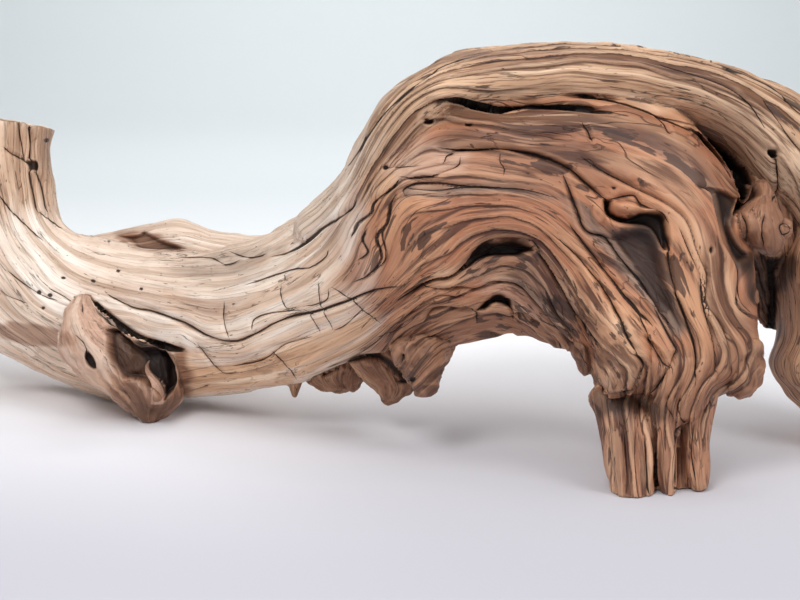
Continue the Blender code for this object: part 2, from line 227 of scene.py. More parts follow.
KNOB_TWIG = [
    ((766, 214), (764, 238), 2, 9),
    ((780, 219), (779, 238), -6, 8),
    ((790, 222), (789, 235), -10, 6),
]
CLAW = [
    ((76, 297), (92, 297), 190, 14),
    ((65, 312), (104, 312), 178, 25),
    ((61, 336), (134, 334), 170, 34),
    ((66, 358), (174, 352), 168, 37),
    ((86, 380), (182, 384), 172, 35),
    ((112, 398), (181, 400), 178, 31),
    ((128, 411), (168, 413), 181, 24),
    ((138, 421), (162, 422), 182, 20),
]
CLAW_SPLINTER = [
    ((152, 400), (162, 398), 136, 5),
    ((154, 391), (160, 389), 133, 3.5),
    ((151, 382), (155, 380), 131, 2.5),
    ((146, 375), (149, 373), 130, 2.2),
    ((144, 367), (147, 367), 130, 2),
    ((147, 360), (149, 361), 130, 1.5),
]
HANGING_PLATE = [
    ((344, 348), (408, 346), 124, 24),
    ((352, 368), (414, 370), 122, 18),
    ((370, 386), (417, 386), 122, 13),
    ((378, 398), (404, 396), 124, 8),
]
REAR_PLATE = [
    ((304, 362), (372, 356), 164, 24),
    ((304, 376), (366, 377), 160, 16),
    ((316, 384), (362, 386), 160, 9),
]
INNER_LIP = [
    ((394, 314), (474, 308), 100, 50),
    ((390, 336), (468, 332), 84, 48),
    ((393, 354), (452, 348), 66, 38),
    ((404, 372), (441, 370), 54, 24),
    ((412, 388), (438, 389), 48, 12),
]
HEM = [
    ((694, 348), (755, 344), -4, 28),
    ((703, 366), (757, 364), -6, 25),
    ((716, 382), (757, 380), -8, 20),
    ((729, 393), (752, 393), -8, 13),
]
PEG = [
    ((286, 376), (302, 376), 152, 9),
    ((289, 388), (299, 388), 150, 7),
    ((292, 396), (297, 396), 150, 4),
]
UNDER_LOBE = [
    ((568, 344), (590, 350), 20, 26),
    ((574, 358), (590, 362), 18, 18),
    ((581, 368), (590, 370), 18, 8),
]

# Traced lines of the front: half width in units, depth in mm, height in mm of the lip on the left
# hand of the way the line runs (below 0: on the right hand), and points.
LINES = {
    "crown crack": (3.3, 9, 2.2, [
        (416, 110), (433, 102), (455, 100), (475, 104), (500, 108), (525, 103), (555, 104), (585, 107),
        (612, 111)]),
    "crown seam": (1.5, 5, 1.5, [(562, 94), (605, 97), (635, 104), (665, 116), (695, 129), (712, 142)]),
    "crown seam notch": (1.2, 3, 0, [(655, 113), (665, 121), (668, 128), (672, 133)]),
    "arch seam": (1.9, 5, 1.8, [
        (440, 148), (465, 148), (495, 147), (525, 152), (550, 159), (570, 169), (588, 185), (605, 199)]),
    "arch seam end": (1.6, 3, 0.6, [(612, 199), (633, 195), (641, 204), (658, 211), (668, 222)]),
    "curtain line 1": (1.7, 3.5, -1.8, [
        (583, 158), (605, 172), (640, 190), (670, 205), (688, 222), (697, 250), (706, 275), (706, 303),
        (722, 328), (730, 358), (731, 374)]),
    "curtain line 2": (1.5, 3, -1.5, [
        (680, 230), (692, 258), (700, 280), (703, 305), (714, 345), (716, 377)]),
    "curtain line 3": (2.2, 5, -2.4, [
        (700, 186), (713, 192), (718, 215), (724, 243), (736, 265), (738, 280), (736, 305), (750, 318)]),
    "curtain line 4": (1.4, 2, -0.5, [(740, 270), (740, 298), (750, 312)]),
    "ridge 1": (1.9, 4, 2.2, [
        (563, 175), (575, 205), (585, 230), (605, 238), (620, 258), (640, 280), (660, 310), (675, 330)]),
    "ridge 2": (1.6, 3.4, 1.8, [(570, 225), (590, 252), (612, 278), (628, 298), (652, 325)]),
    "ridge 3": (1.7, 3.6, 1.8, [
        (560, 240), (580, 260), (600, 284), (620, 318), (633, 345), (644, 363), (643, 372)]),
    "ridge 4": (1.3, 1.6, 0.5, [(560, 285), (570, 302), (585, 330), (596, 352)]),
    "right crack": (2.4, 4, -1.0, [
        (667, 240), (670, 270), (678, 300), (688, 325), (696, 355), (695, 385)]),
    "curtain fold a": (1.5, 2, 0.8, [(640, 312), (650, 340), (662, 362), (672, 368)]),
    "curtain fold b": (1.5, 2, 0.8, [(655, 310), (668, 335), (677, 350)]),
    "curtain fold c": (2.0, 3, 1.2, [(676, 350), (668, 372), (662, 380), (652, 392)]),
    "curtain fold d": (1.6, 2.5, 0.8, [(668, 396), (668, 408), (673, 417)]),
    "curtain fold e": (1.8, 3, 0.8, [(680, 398), (679, 410), (683, 422), (690, 420)]),
    "lobe edge": (2.0, 5, 1.5, [(601, 386), (610, 394), (620, 394), (630, 391), (638, 378), (643, 366)]),
    "eye crack": (2.3, 6, 2.6, [
        (398, 300), (413, 291), (433, 279), (450, 276), (466, 263), (474, 253), (484, 244), (500, 239),
        (530, 241), (540, 248)]),
    "eye tail": (1.7, 4, 2.0, [(538, 248), (550, 268), (565, 293), (577, 315), (592, 337), (602, 350)]),
    "fold 1": (1.8, 5, 2.4, [
        (424, 287), (440, 288), (465, 288), (478, 288), (495, 281), (518, 284), (535, 301), (555, 325),
        (575, 348), (586, 362)]),
    "fold 2": (1.8, 5, 2.4, [(424, 320), (433, 310), (452, 308), (476, 311)]),
    "fold 3": (1.7, 4, 2.0, [(396, 326), (403, 318), (420, 305), (440, 296), (462, 296)]),
    "fold 4": (1.6, 2.5, 0.8, [(380, 335), (392, 333), (402, 325)]),
    "fold 5": (1.5, 4, 1.6, [(512, 312), (530, 318), (548, 333), (562, 348)]),
    "fragment gap": (2.4, 6, 0, [(411, 338), (405, 350), (401, 362)]),
    "fragment crack": (1.7, 4, 0, [(380, 362), (388, 368), (395, 376), (403, 383)]),
    "terrace a": (1.7, 3.2, -2.0, [
        (400, 180), (380, 196), (372, 204), (369, 213), (356, 223), (352, 236)]),
    "terrace b": (1.6, 3.0, -1.9, [
        (397, 195), (389, 205), (385, 223), (375, 238), (380, 258), (368, 275), (356, 281)]),
    "terrace c": (1.2, 2.0, -1.2, [(383, 225), (380, 235), (385, 257), (375, 270)]),
    "terrace d": (1.5, 2.6, 1.6, [(403, 177), (425, 177), (445, 171), (458, 165), (460, 159)]),
    "terrace e": (1.5, 2.8, 2.0, [
        (405, 195), (403, 190), (415, 183), (440, 183), (470, 186), (500, 187)]),
    "terrace f": (1.2, 2.0, -1.2, [(366, 230), (361, 240), (367, 252), (358, 260)]),
    "terrace g": (1.1, 1.2, 0, [(500, 155), (500, 162), (504, 168), (504, 175)]),
    "grey band foot": (1.3, 1.4, 0.7, [
        (408, 189), (440, 190), (460, 188), (500, 188), (528, 190), (552, 197)]),
    "upper limb crack": (2.0, 4, 0.8, [
        (272, 256), (288, 250), (305, 241), (324, 226), (349, 209), (356, 201)]),
    "limb crack": (2.1, 4.5, 0.9, [
        (109, 295), (130, 306), (155, 312), (183, 323), (210, 338), (235, 341), (258, 331), (285, 318),
        (315, 312), (345, 302), (375, 291), (396, 287)]),
    "limb line 1": (1.3, 1.6, 0.4, [(252, 330), (253, 320), (270, 313), (300, 310)]),
    "limb line 2": (1.3, 1.6, 0.5, [
        (245, 285), (270, 276), (293, 269), (310, 267), (325, 257), (328, 251)]),
    "limb line 3": (1.2, 1.4, 0.4, [(231, 252), (248, 257), (265, 254)]),
    "limb line 4": (1.2, 1.3, 0.3, [(178, 257), (210, 257), (225, 264), (240, 260)]),
    "cross cut 1": (1.0, 1.2, 0, [(224, 303), (223, 315), (225, 328), (229, 338)]),
    "cross cut 2": (1.0, 1.2, 0, [(281, 285), (280, 295), (286, 308), (296, 307)]),
    "cross cut 3": (1.0, 1.3, 0, [(318, 283), (318, 295), (321, 310)]),
    "cross cut 4": (1.0, 1.3, 0, [(328, 290), (326, 300), (313, 305), (305, 306)]),
    "cross cut 5": (1.0, 1.2, 0, [(305, 310), (312, 320), (320, 332)]),
    "cross cut 6": (1.0, 1.2, 0, [(322, 312), (328, 322), (333, 330)]),
    "cross cut 7": (1.1, 1.4, 0, [(333, 288), (350, 300), (365, 313), (380, 323)]),
    "cross cut 8": (1.1, 1.4, 0, [(364, 308), (345, 326), (335, 330)]),
    "cross cut 9": (1.0, 1.2, 0, [(377, 318), (370, 320), (362, 328)]),
    "lower limb 1": (1.4, 2.0, 0.6, [(310, 337), (285, 345), (270, 356), (255, 363), (235, 366)]),
    "lower limb 2": (1.3, 1.8, 0.4, [(272, 352), (282, 362), (296, 378)]),
    "lower limb 3": (1.4, 1.8, 0.5, [(198, 345), (205, 355), (222, 373), (237, 373)]),
    "lower limb 4": (1.3, 1.6, 0.4, [(190, 392), (200, 389), (208, 385)]),
    "left crack 1": (1.2, 1.8, 0.4, [(0, 196), (13, 212), (32, 230), (42, 240)]),
    "left crack 2": (1.1, 1.5, 0.3, [(40, 212), (50, 219), (62, 228)]),
    "left crack 3": (1.1, 1.5, 0.4, [(8, 271), (20, 281), (42, 295), (56, 300)]),
    "left crack 4": (1.1, 1.5, 0.4, [(50, 289), (60, 294), (74, 303)]),
    "left crack 5": (1.1, 1.4, 0.3, [(0, 290), (8, 296), (26, 303)]),
    "stub split a": (1.9, 5, 0, [(29, 119), (31, 130), (33, 145), (31, 162)]),
    "stub split b": (1.5, 3, 0, [(19, 118), (22, 140), (26, 160), (31, 165)]),
    "stub split c": (1.7, 3, 0, [(5, 148), (14, 154), (25, 160), (30, 165)]),
    "stub split d": (1.6, 3, 0.4, [(30, 168), (34, 190), (38, 212)]),
    "stub split e": (1.4, 2.5, 0.3, [(35, 166), (43, 187), (48, 212)]),
    "claw seam": (2.2, 4, 0, [(92, 300), (100, 311), (124, 331), (141, 341), (160, 345), (181, 351)]),
    "leg split": (1.7, 5, 0, [(656, 428), (655, 450), (656, 474), (659, 498)]),
    "leg groove": (1.7, 5, 0, [(682, 424), (677, 440), (677, 485), (678, 499)]),
    "leg flute 1": (1.0, 1.5, 0.6, [(608, 428), (610, 455), (614, 480)]),
    "leg flute 2": (1.2, 2.0, 0.6, [(624, 434), (626, 460), (627, 492)]),
    "leg flute 3": (1.0, 1.6, 0.6, [(636, 430), (635, 462), (638, 496)]),
    "leg flute 4": (1.0, 1.6, -0.6, [(694, 420), (692, 450), (696, 480)]),
    "leg flute 5": (0.9, 1.2, 0.4, [(643, 440), (645, 470), (648, 494)]),
    "outer trunk line": (1.3, 1.5, 0.5, [
        (348, 166), (357, 153), (370, 132), (385, 112), (412, 88), (445, 64), (475, 57)]),
    "crown line 1": (1.2, 1.2, 0.4, [(660, 65), (700, 77), (728, 88), (750, 105), (764, 127)]),
    "crown line 2": (1.2, 1.4, 0.4, [(710, 62), (735, 73), (765, 84), (785, 99), (802, 116)]),
    "crown line 3": (1.2, 1.4, 0.4, [(763, 100), (780, 124), (793, 142), (802, 152)]),
    "crown hole gutter": (2.0, 3, 0, [(774, 154), (776, 172), (777, 188), (773, 200)]),
    "knob crease": (1.4, 2.5, 0, [(764, 217), (762, 230), (763, 246)]),
    "knob crease 2": (1.3, 2, 0, [(742, 214), (748, 226), (746, 242)]),
    "twig ring": (1.2, 1.5, 0, [
        (790, 229), (788, 224), (784, 223), (780, 227), (781, 233), (785, 235), (789, 233), (790, 229)]),
    "comma notch": (1.6, 3, 0, [(583, 123), (588, 129), (592, 140)]),
    "gallery 1": (1.4, 1.8, 0.3, [(444, 163), (446, 156), (453, 153)]),
    "gallery 2": (1.0, 1.2, 0, [(386, 168), (402, 167), (420, 166)]),
    "gallery 3": (1.0, 1.2, 0, [(284, 275), (284, 281)]),
    "inner wall crack": (1.3, 2, 0, [(477, 311), (477, 321)]),
    "inner wall crack 2": (1.3, 2, 0, [(513, 310), (513, 319)]),
    "claw slit": (1.2, 2, 0, [(82, 304), (83, 312)]),
    "claw crack": (1.1, 1.5, 0, [(75, 335), (84, 344), (88, 360)]),
}
# Hollows of the front: depth in mm, softness of the edge in units, how dark the shade painted into them is,
# and outline.
HOLLOWS = {
    "crown gap": (30, 3, 1.0, [
        (696, 131), (712, 137), (735, 156), (748, 168), (756, 182), (760, 194), (752, 202), (742, 210),
        (733, 216), (738, 200), (732, 180), (718, 158), (704, 143)]),
    "knot hollow": (17, 3, 1.0, [
        (604, 200), (611, 200), (613, 212), (630, 217), (640, 212), (655, 212), (666, 220), (669, 240),
        (664, 251), (655, 233), (645, 226), (620, 223), (606, 214)]),
    "dark channel": (7, 12, 0.0, [
        (606, 237), (632, 227), (652, 232), (665, 262), (676, 300), (684, 324), (675, 327), (645, 290),
        (618, 253)]),
    "eye cave": (15, 4, 1.0, [
        (457, 272), (466, 263), (474, 253), (486, 243), (514, 240), (537, 247), (525, 253), (515, 257),
        (485, 258), (470, 265)]),
    "ledge cave": (13, 3, 1.0, [
        (474, 311), (486, 300), (495, 293), (505, 293), (511, 300), (514, 312), (505, 306), (495, 303),
        (485, 310)]),
    "crown crevice": (7, 1.5, 1.0, [
        (446, 101), (470, 103), (500, 107), (530, 104), (560, 104), (592, 107), (560, 106), (530, 107),
        (500, 110), (470, 106)]),
    "claw crevice": (7, 2.5, 1.0, [
        (93, 300), (104, 308), (122, 322), (142, 335), (162, 342), (184, 348), (182, 351), (160, 349),
        (138, 344), (120, 332), (102, 318), (94, 307)]),
    "claw mouth": (22, 3.5, 0.45, [
        (106, 331), (119, 331), (129, 339), (143, 347), (164, 351), (172, 362), (177, 384), (167, 396),
        (161, 399), (147, 383), (131, 380), (120, 377), (111, 363)]),
    "limb pocket": (9, 3, 0.35, [
        (116, 236), (137, 235), (144, 231), (157, 238), (181, 248), (169, 251), (140, 250), (129, 241)]),
    "recess": (9, 5, 0.75, [
        (704, 188), (716, 194), (720, 215), (726, 243), (738, 262), (750, 256), (738, 243), (730, 225),
        (733, 214), (740, 202), (726, 190)]),
    "under limb": (5, 2, 0.7, [
        (318, 373), (334, 363), (352, 356), (374, 352), (388, 357), (399, 369), (410, 379), (402, 380),
        (386, 364), (372, 358), (354, 361), (338, 369), (324, 377)]),
    "lower fold pit": (4, 6, 0.4, [
        (545, 297), (560, 300), (577, 330), (580, 348), (566, 335), (550, 312)]),
    "stub blot": (7, 2, 1.0, [(28, 161), (37, 161), (37, 169), (28, 169)]),
    "right gutter": (8, 4, 0.85, [
        (764, 258), (783, 256), (778, 272), (780, 300), (776, 340), (764, 338), (768, 300)]),
}
# Holes: place, half sizes in units, turn in degrees, depth in mm. Each hole is painted dark with shade
# towards its middle.
HOLES = [
    ((428, 120), (5.0, 3.5), 20, 7),
    ((469, 125), (3.5, 1.7), 0, 3),
    ((386, 168), (2.6, 2.6), 0, 4),
    ((774, 152), (5.0, 4.2), 0, 9),
    ((614, 188), (2.2, 1.8), 0, 3),
    ((711, 250), (1.8, 3.2), 0, 3),
    ((91, 361), (3.6, 8.0), -25, 8),
    ((46, 140), (2.6, 2.0), 0, 3),
    ((405, 380), (3.4, 2.4), 0, 4),
    ((414, 379), (2.6, 2.4), 0, 4),
    ((63, 278), (2.2, 1.4), 0, 2),
    ((93, 281), (2.2, 1.4), 20, 2),
    ((39, 292), (2.0, 1.6), 0, 2),
    ((50, 295), (2.2, 1.6), 0, 2),
    ((43, 308), (1.8, 1.5), 0, 2),
    ((75, 298), (1.8, 1.5), 0, 2),
    ((118, 271), (1.8, 1.4), 0, 2),
    ((141, 289), (1.8, 1.4), 0, 2),
    ((109, 241), (2.0, 1.5), 0, 2),
]
# Swellings: place, half sizes in units, turn in degrees, height in mm.
SWELLINGS = [
    ((628, 208), (17, 7), 8, 7),
    ((598, 213), (8, 14), -10, 2.5),
    ((478, 268), (9, 7), 0, 2.0),
    ((435, 239), (20, 17), 0, 1.5),
    ((690, 103), (16, 7), 8, 1.5),
    ((746, 225), (13, 16), 0, 3.5),
    ((633, 176), (9, 6), 0, 1.0),
    ((622, 60), (60, 9), 0, 1.0),
    ((520, 128), (80, 11), 0, 1.6),
    ((520, 222), (60, 20), 0, 2.0),
    ((668, 456), (8, 34), 0, 3.0),
    ((694, 456), (9, 30), 0, 3.0),
    ((618, 456), (6, 32), 0, 2.5),
    ((645, 460), (7, 34), 0, 2.5),
    ((398, 352), (8, 10), 0, 3.0),
    ((410, 352), (8, 13), 0, 3.5),
]
# Dark stains: place, half sizes in units, turn in degrees, strength.
STAINS = [
    ((408, 239), (8, 14), 0, 0.8),
    ((435, 236), (17, 20), 10, 0.55),
    ((622, 133), (18, 6), 6, 0.9),
    ((684, 164), (32, 6), 40, 0.7),
    ((558, 173), (34, 7), 28, 0.8),
    ((622, 333), (10, 12), 0, 0.7),
    ((378, 298), (8, 8), 0, 0.6),
    ((585, 309), (6, 11), 0, 0.8),
    ((523, 310), (9, 6), 0, 0.7),
    ((562, 316), (12, 26), -35, 0.8),
    ((500, 262), (44, 9), -6, 0.6),
    ((686, 262), (5, 11), -30, 0.8),
    ((604, 290), (5, 14), -35, 0.5),
    ((652, 262), (22, 48), -28, 0.85),
    ((504, 320), (40, 7), 5, 0.4),
    ((330, 372), (40, 9), -12, 0.4),
    ((408, 372), (36, 22), 0, 0.3),
    ((70, 338), (16, 12), 0, 0.3),
]
# The flow of the grain over the front: mm across the grain, and the line that runs at that level.
FLOW = [
    (0, [
        (54, 130), (52, 180), (60, 220), (90, 238), (140, 248), (200, 250), (250, 243), (290, 226),
        (320, 204), (342, 174), (356, 142), (380, 104), (420, 72), (470, 52), (540, 44), (610, 44),
        (670, 52), (730, 66), (790, 92), (840, 130), (870, 176)]),
    (16, [
        (38, 126), (36, 190), (52, 232), (90, 256), (140, 268), (200, 272), (255, 266), (300, 246),
        (335, 216), (356, 176), (374, 136), (402, 100), (440, 76), (500, 66), (570, 62), (640, 68),
        (700, 82), (750, 106), (790, 140), (815, 180)]),
    (34, [
        (20, 124), (24, 190), (40, 240), (84, 274), (130, 288), (190, 300), (235, 300), (280, 284),
        (322, 256), (352, 214), (376, 168), (398, 134), (416, 112), (433, 102), (455, 100), (500, 107),
        (555, 104), (600, 106), (650, 116), (700, 136), (730, 164), (748, 196), (760, 240), (764, 300)]),
    (50, [
        (0, 130), (8, 200), (36, 258), (80, 292), (120, 302), (160, 314), (205, 326), (240, 322),
        (290, 300), (330, 274), (358, 226), (380, 190), (405, 166), (440, 149), (495, 147), (540, 156),
        (580, 162), (620, 178), (660, 198), (690, 224), (700, 262), (708, 304), (726, 340), (731, 376)]),
    (62, [
        (-20, 160), (-6, 220), (30, 276), (80, 306), (130, 316), (183, 328), (222, 341), (258, 331),
        (300, 314), (345, 300), (370, 268), (384, 228), (404, 194), (440, 188), (500, 188), (545, 196),
        (575, 214), (600, 240), (640, 262), (668, 290), (688, 330), (696, 372)]),
    (76, [
        (-40, 200), (-10, 260), (30, 310), (80, 338), (140, 352), (200, 360), (240, 360), (280, 345),
        (330, 326), (375, 303), (402, 270), (425, 236), (465, 214), (515, 212), (555, 232), (590, 262),
        (622, 300), (652, 338), (668, 374)]),
    (92, [
        (-40, 250), (0, 310), (50, 348), (110, 374), (180, 384), (240, 378), (300, 360), (350, 335),
        (385, 310), (412, 292), (450, 276), (474, 256), (500, 241), (535, 246), (556, 274), (580, 312),
        (606, 350), (630, 382)]),
    (108, [
        (-20, 310), (30, 350), (90, 382), (150, 398), (210, 397), (270, 388), (330, 366), (375, 343),
        (405, 318), (430, 300), (470, 288), (497, 281), (522, 287), (548, 316), (574, 350), (592, 380)]),
    (124, [(392, 368), (408, 340), (440, 322), (476, 314), (510, 313), (540, 330), (566, 352)]),
    (106, [(600, 400), (606, 440), (610, 490)]),
    (96, [(618, 398), (623, 440), (626, 492)]),
    (86, [(640, 400), (641, 440), (643, 494)]),
    (78, [(654, 404), (655, 450), (657, 494)]),
    (66, [(677, 402), (677, 450), (678, 494)]),
    (56, [(696, 400), (694, 450), (695, 488)]),
    (46, [(713, 398), (709, 440), (709, 484)]),
    (42, [(752, 200), (764, 250), (768, 320), (766, 370), (758, 400)]),
]
# The limbs that the flow runs over.
FLOWING = (
    "trunk", "crown", "hem", "inner lip", "front leg", "leg lobe left", "leg lobe middle",
    "leg lobe right", "drape lobe", "drape tail",
)
# Round the back the layers of these limbs follow the limb itself, to this depth in metres. The
# trunk's do so only at its low end, and blend into the flow between two columns of the picture.
LAYERS_BEHIND = {"crown": 0.076, "trunk": 0.056}
LOW_END = (230, 330)
# Limbs whose ends are rotten and broken, with how rough they are.
ROUGH = {
    "claw": 0.8, "hanging plate": 1.2, "rear plate": 1.2, "inner lip": 1.3, "hem": 1.4, "peg": 0.3,
    "under lobe": 0.8, "gap wall": 1.0, "drape tail": 0.5, "drape lobe": 0.2, "knob": 0.4,
}
DULL = ("claw", "claw splinter", "rear plate", "hanging plate", "peg")  # limbs that are never bleached
# Limbs whose layers hardly show, with how much of them does.
CALM = {
    "claw splinter": 0.2, "knob": 0.15, "knob twig": 0.1, "claw": 0.12, "peg": 0.2, "inner lip": 0.6,
    "hanging plate": 0.2, "rear plate": 0.2, "under lobe": 0.6,
}

# Palettes: middle, deep and bright colour of each kind of wood, as seen on a screen.
PALETTES = {
    "bleached": ((232, 208, 188), (170, 136, 110), (250, 237, 224)),
    "cream": ((226, 180, 142), (152, 106, 75), (246, 214, 182)),
    "orange": ((170, 112, 81), (84, 50, 38), (208, 155, 118)),
    "tan": ((200, 158, 124), (124, 87, 64), (230, 196, 164)),
    "brown": ((148, 104, 79), (76, 49, 38), (190, 144, 112)),
    "pinkish": ((202, 163, 140), (134, 94, 75), (228, 198, 176)),
    "russet": ((190, 136, 105), (98, 63, 48), (222, 176, 142)),
    # The dark kind is no limb's wood: it lies as painted shade over gaps, recesses, the claw's mouth and
    # under the drape, and over the dark channel.
    "dark": ((53, 38, 32), (30, 20, 17), (80, 58, 48)),
    "grey": ((122, 104, 92), (68, 56, 50), (164, 144, 130)),
}
# The limbs that show each kind of wood.
LIMBS_OF_WOOD = {
    "bleached": ("back limb",),
    "orange": ("trunk", "drape lobe", "drape tail"),
    "tan": ("crown",),
    "brown": (
        "gap wall", "knob", "knob twig", "hanging plate", "rear plate", "inner lip", "hem", "peg",
        "under lobe",
    ),
    "pinkish": ("claw", "claw splinter"),
    "russet": ("right leg", "front leg", "leg lobe left", "leg lobe middle", "leg lobe right"),
}
# DUSK darkens the ledge lines as painted shade under each ledge, and also the real checks and stains; PIT
# and PALE_PIT are painted shade at the bottom of cracks, hollows and holes.
DUSK = (58, 38, 32)  # ledge lines, checks and stains
PIT = (24, 16, 13)  # the bottom of cracks and hollows, and the same in bleached wood
PALE_PIT = (52, 38, 30)
# The limb is bleached left of this line: down the picture, and the column there.
BLEACHED_EDGE = [
    (60, 418), (110, 392), (160, 372), (200, 357), (240, 350), (280, 352), (320, 372), (360, 366),
]
RUSSET_FROM = ((120, 235), (788, 812))  # the crown turns russet down and right between these
# Washes over the front: kind of wood, place, half sizes in units, turn in degrees, strength.
WASHES = [
    ("tan", (392, 150), (26, 50), 25, 0.5),
    ("grey", (470, 186), (64, 7), 0, 0.35),
    ("pinkish", (520, 290), (60, 18), 20, 0.35),
    ("pinkish", (548, 318), (24, 28), 55, 0.3),
    ("brown", (30, 334), (42, 10), 8, 0.75),
    ("brown", (225, 350), (34, 12), 10, 0.35),
    ("grey", (238, 262), (60, 12), -8, 0.3),
    ("pinkish", (160, 300), (90, 10), 10, 0.3),
    ("brown", (520, 158), (90, 26), 8, 0.5),
    ("brown", (620, 385), (54, 34), 10, 0.5),
    ("brown", (600, 62), (130, 12), 4, 0.6),
    ("brown", (18, 160), (40, 44), 80, 0.55),
    ("brown", (790, 330), (26, 84), 0, 0.6),
]
# Patches over the front: kind of wood, strength, softness in units, and outline.
PATCHES = [
    ("grey", 0.55, 4, [
        (400, 186), (440, 187), (500, 185), (552, 193), (570, 204), (548, 200), (500, 194), (440, 196),
        (404, 196)]),
    ("grey", 0.55, 6, [
        (650, 128), (690, 150), (722, 186), (734, 214), (722, 216), (700, 186), (672, 160), (644, 142)]),
    ("tan", 0.5, 6, [(590, 150), (640, 158), (686, 182), (708, 206), (696, 208), (660, 184), (610, 168)]),
    ("grey", 0.5, 6, [
        (500, 268), (530, 268), (556, 300), (574, 330), (560, 326), (530, 292), (504, 280)]),
    ("tan", 0.5, 6, [(440, 268), (470, 268), (520, 262), (530, 270), (480, 280), (436, 284)]),
    ("pinkish", 0.6, 8, [(385, 150), (425, 136), (470, 146), (462, 172), (430, 180), (396, 182)]),
    ("cream", 0.95, 12, [
        (180, 350), (235, 362), (300, 340), (352, 318), (378, 330), (352, 356), (290, 382), (230, 396),
        (180, 396)]),
    ("cream", 0.45, 14, [(-10, 340), (60, 365), (110, 392), (80, 400), (-10, 372)]),
    ("tan", 0.6, 10, [(-6, 112), (62, 118), (58, 196), (30, 212), (-6, 200)]),
    ("cream", 0.35, 10, [
        (258, 262), (330, 240), (350, 270), (340, 300), (285, 306), (262, 320), (250, 300)]),
    ("tan", 0.9, 8, [
        (380, 130), (418, 88), (470, 62), (560, 76), (650, 84), (720, 108), (770, 150), (810, 220),
        (800, 150), (760, 92), (700, 66), (600, 44), (500, 44), (430, 62), (380, 104), (360, 140)]),
    ("cream", 0.35, 12, [(170, 300), (240, 320), (330, 290), (345, 306), (250, 345), (180, 330)]),
    ("brown", 0.85, 5, [
        (470, 62), (520, 60), (600, 66), (660, 74), (720, 88), (780, 120), (775, 112), (715, 78),
        (640, 62), (560, 56), (490, 54)]),
    ("tan", 0.75, 6, [
        (388, 130), (418, 108), (450, 104), (520, 112), (580, 112), (640, 122), (690, 142), (655, 132),
        (600, 122), (520, 124), (450, 122), (410, 132), (392, 146)]),
    ("brown", 0.55, 8, [
        (450, 124), (520, 126), (600, 126), (660, 134), (712, 160), (735, 190), (726, 200), (690, 166),
        (640, 146), (560, 140), (500, 138), (450, 142)]),
    ("cream", 0.55, 6, [
        (436, 86), (480, 77), (560, 76), (640, 86), (694, 106), (640, 106), (600, 99), (540, 96),
        (480, 98), (440, 99)]),
    ("grey", 0.75, 5, [
        (560, 196), (590, 206), (596, 222), (640, 262), (668, 300), (682, 330), (672, 332), (640, 296),
        (600, 252), (572, 222)]),
    ("dark", 1.0, 6, [
        (604, 222), (620, 228), (640, 226), (656, 232), (664, 252), (670, 280), (678, 306), (684, 326),
        (675, 326), (660, 306), (640, 282), (618, 252)]),
    ("orange", 0.5, 8, [
        (560, 176), (575, 206), (600, 250), (640, 298), (672, 345), (660, 350), (620, 300), (580, 246),
        (556, 206)]),
    ("tan", 0.4, 8, [
        (672, 212), (700, 226), (722, 262), (744, 320), (752, 360), (722, 366), (708, 320), (700, 270),
        (684, 240)]),
    ("tan", 0.55, 7, [
        (566, 272), (590, 300), (616, 320), (640, 340), (642, 372), (628, 386), (606, 386), (596, 350),
        (578, 316), (560, 286)]),
    ("brown", 0.75, 8, [
        (640, 360), (690, 352), (756, 345), (760, 390), (740, 402), (716, 396), (690, 420), (660, 424),
        (634, 400)]),
    # Painted shade: the dark patches in the right gutter, in the recess by the knob, under the drape and on
    # the leg's top beneath it.
    ("dark", 0.8, 5, [
        (740, 262), (766, 254), (800, 262), (778, 300), (780, 336), (762, 338), (764, 300)]),
    ("dark", 0.85, 4, [
        (710, 188), (726, 194), (737, 214), (733, 230), (743, 248), (754, 258), (756, 300), (746, 298),
        (742, 272), (731, 252), (721, 228), (714, 206)]),
    ("dark", 0.6, 5, [(612, 392), (640, 396), (668, 412), (662, 424), (640, 414), (612, 410)]),
    ("dark", 0.65, 5, [(590, 388), (606, 390), (612, 410), (600, 416), (590, 404)]),
    ("brown", 0.7, 6, [
        (380, 330), (420, 310), (470, 300), (520, 306), (560, 330), (590, 360), (560, 356), (520, 338),
        (470, 336), (440, 360), (430, 392), (390, 400), (310, 380), (350, 355)]),
    ("brown", 0.5, 6, [
        (476, 246), (540, 248), (566, 290), (584, 330), (566, 330), (540, 290), (510, 268), (470, 270)]),
    ("brown", 0.9, 3, [
        (104, 328), (120, 330), (142, 344), (164, 350), (174, 364), (178, 386), (166, 400), (150, 390),
        (128, 378), (110, 360)]),
    # Painted shade: the dark patches in the claw's mouth and, further down, over its lower jaw.
    ("dark", 0.5, 4, [(106, 330), (120, 330), (142, 344), (140, 380), (126, 376), (110, 360)]),
    ("dark", 1.0, 3, [
        (138, 342), (164, 350), (174, 362), (176, 386), (166, 398), (152, 386), (142, 366)]),
    ("brown", 0.9, 5, [
        (104, 366), (130, 382), (160, 396), (176, 384), (172, 356), (186, 352), (190, 404), (160, 424),
        (134, 424), (116, 402)]),
    ("dark", 0.4, 8, [(120, 388), (150, 398), (176, 390), (184, 404), (160, 424), (134, 424)]),
    ("brown", 0.9, 4, [(116, 234), (144, 230), (184, 248), (170, 253), (138, 252)]),
]


def place(x, y, back):
    """The place in the frame, in metres, of a picture point that lies `back` metres deep."""
    x, y, back = (np.asarray(value, float)[..., None] for value in (x, y, back))
    spread = UNIT * (1 + back / VIEW_DISTANCE)
    across = spread * (x - PICTURE_MIDDLE[0])
    above = spread * (PICTURE_MIDDLE[1] - y)
    return PLANE_MIDDLE + back * INTO + across * RIGHT + above * UP


def picture(points):
    """Where the eye sees points of the frame, as (n, 2), and how deep they lie."""
    offset = points - PLANE_MIDDLE
    back = offset @ INTO
    shrink = 1 / (UNIT * (1 + back / VIEW_DISTANCE))
    across = PICTURE_MIDDLE[0] + (offset @ RIGHT) * shrink
    down = PICTURE_MIDDLE[1] - (offset @ UP) * shrink
    return np.stack((across, down), axis=1), back


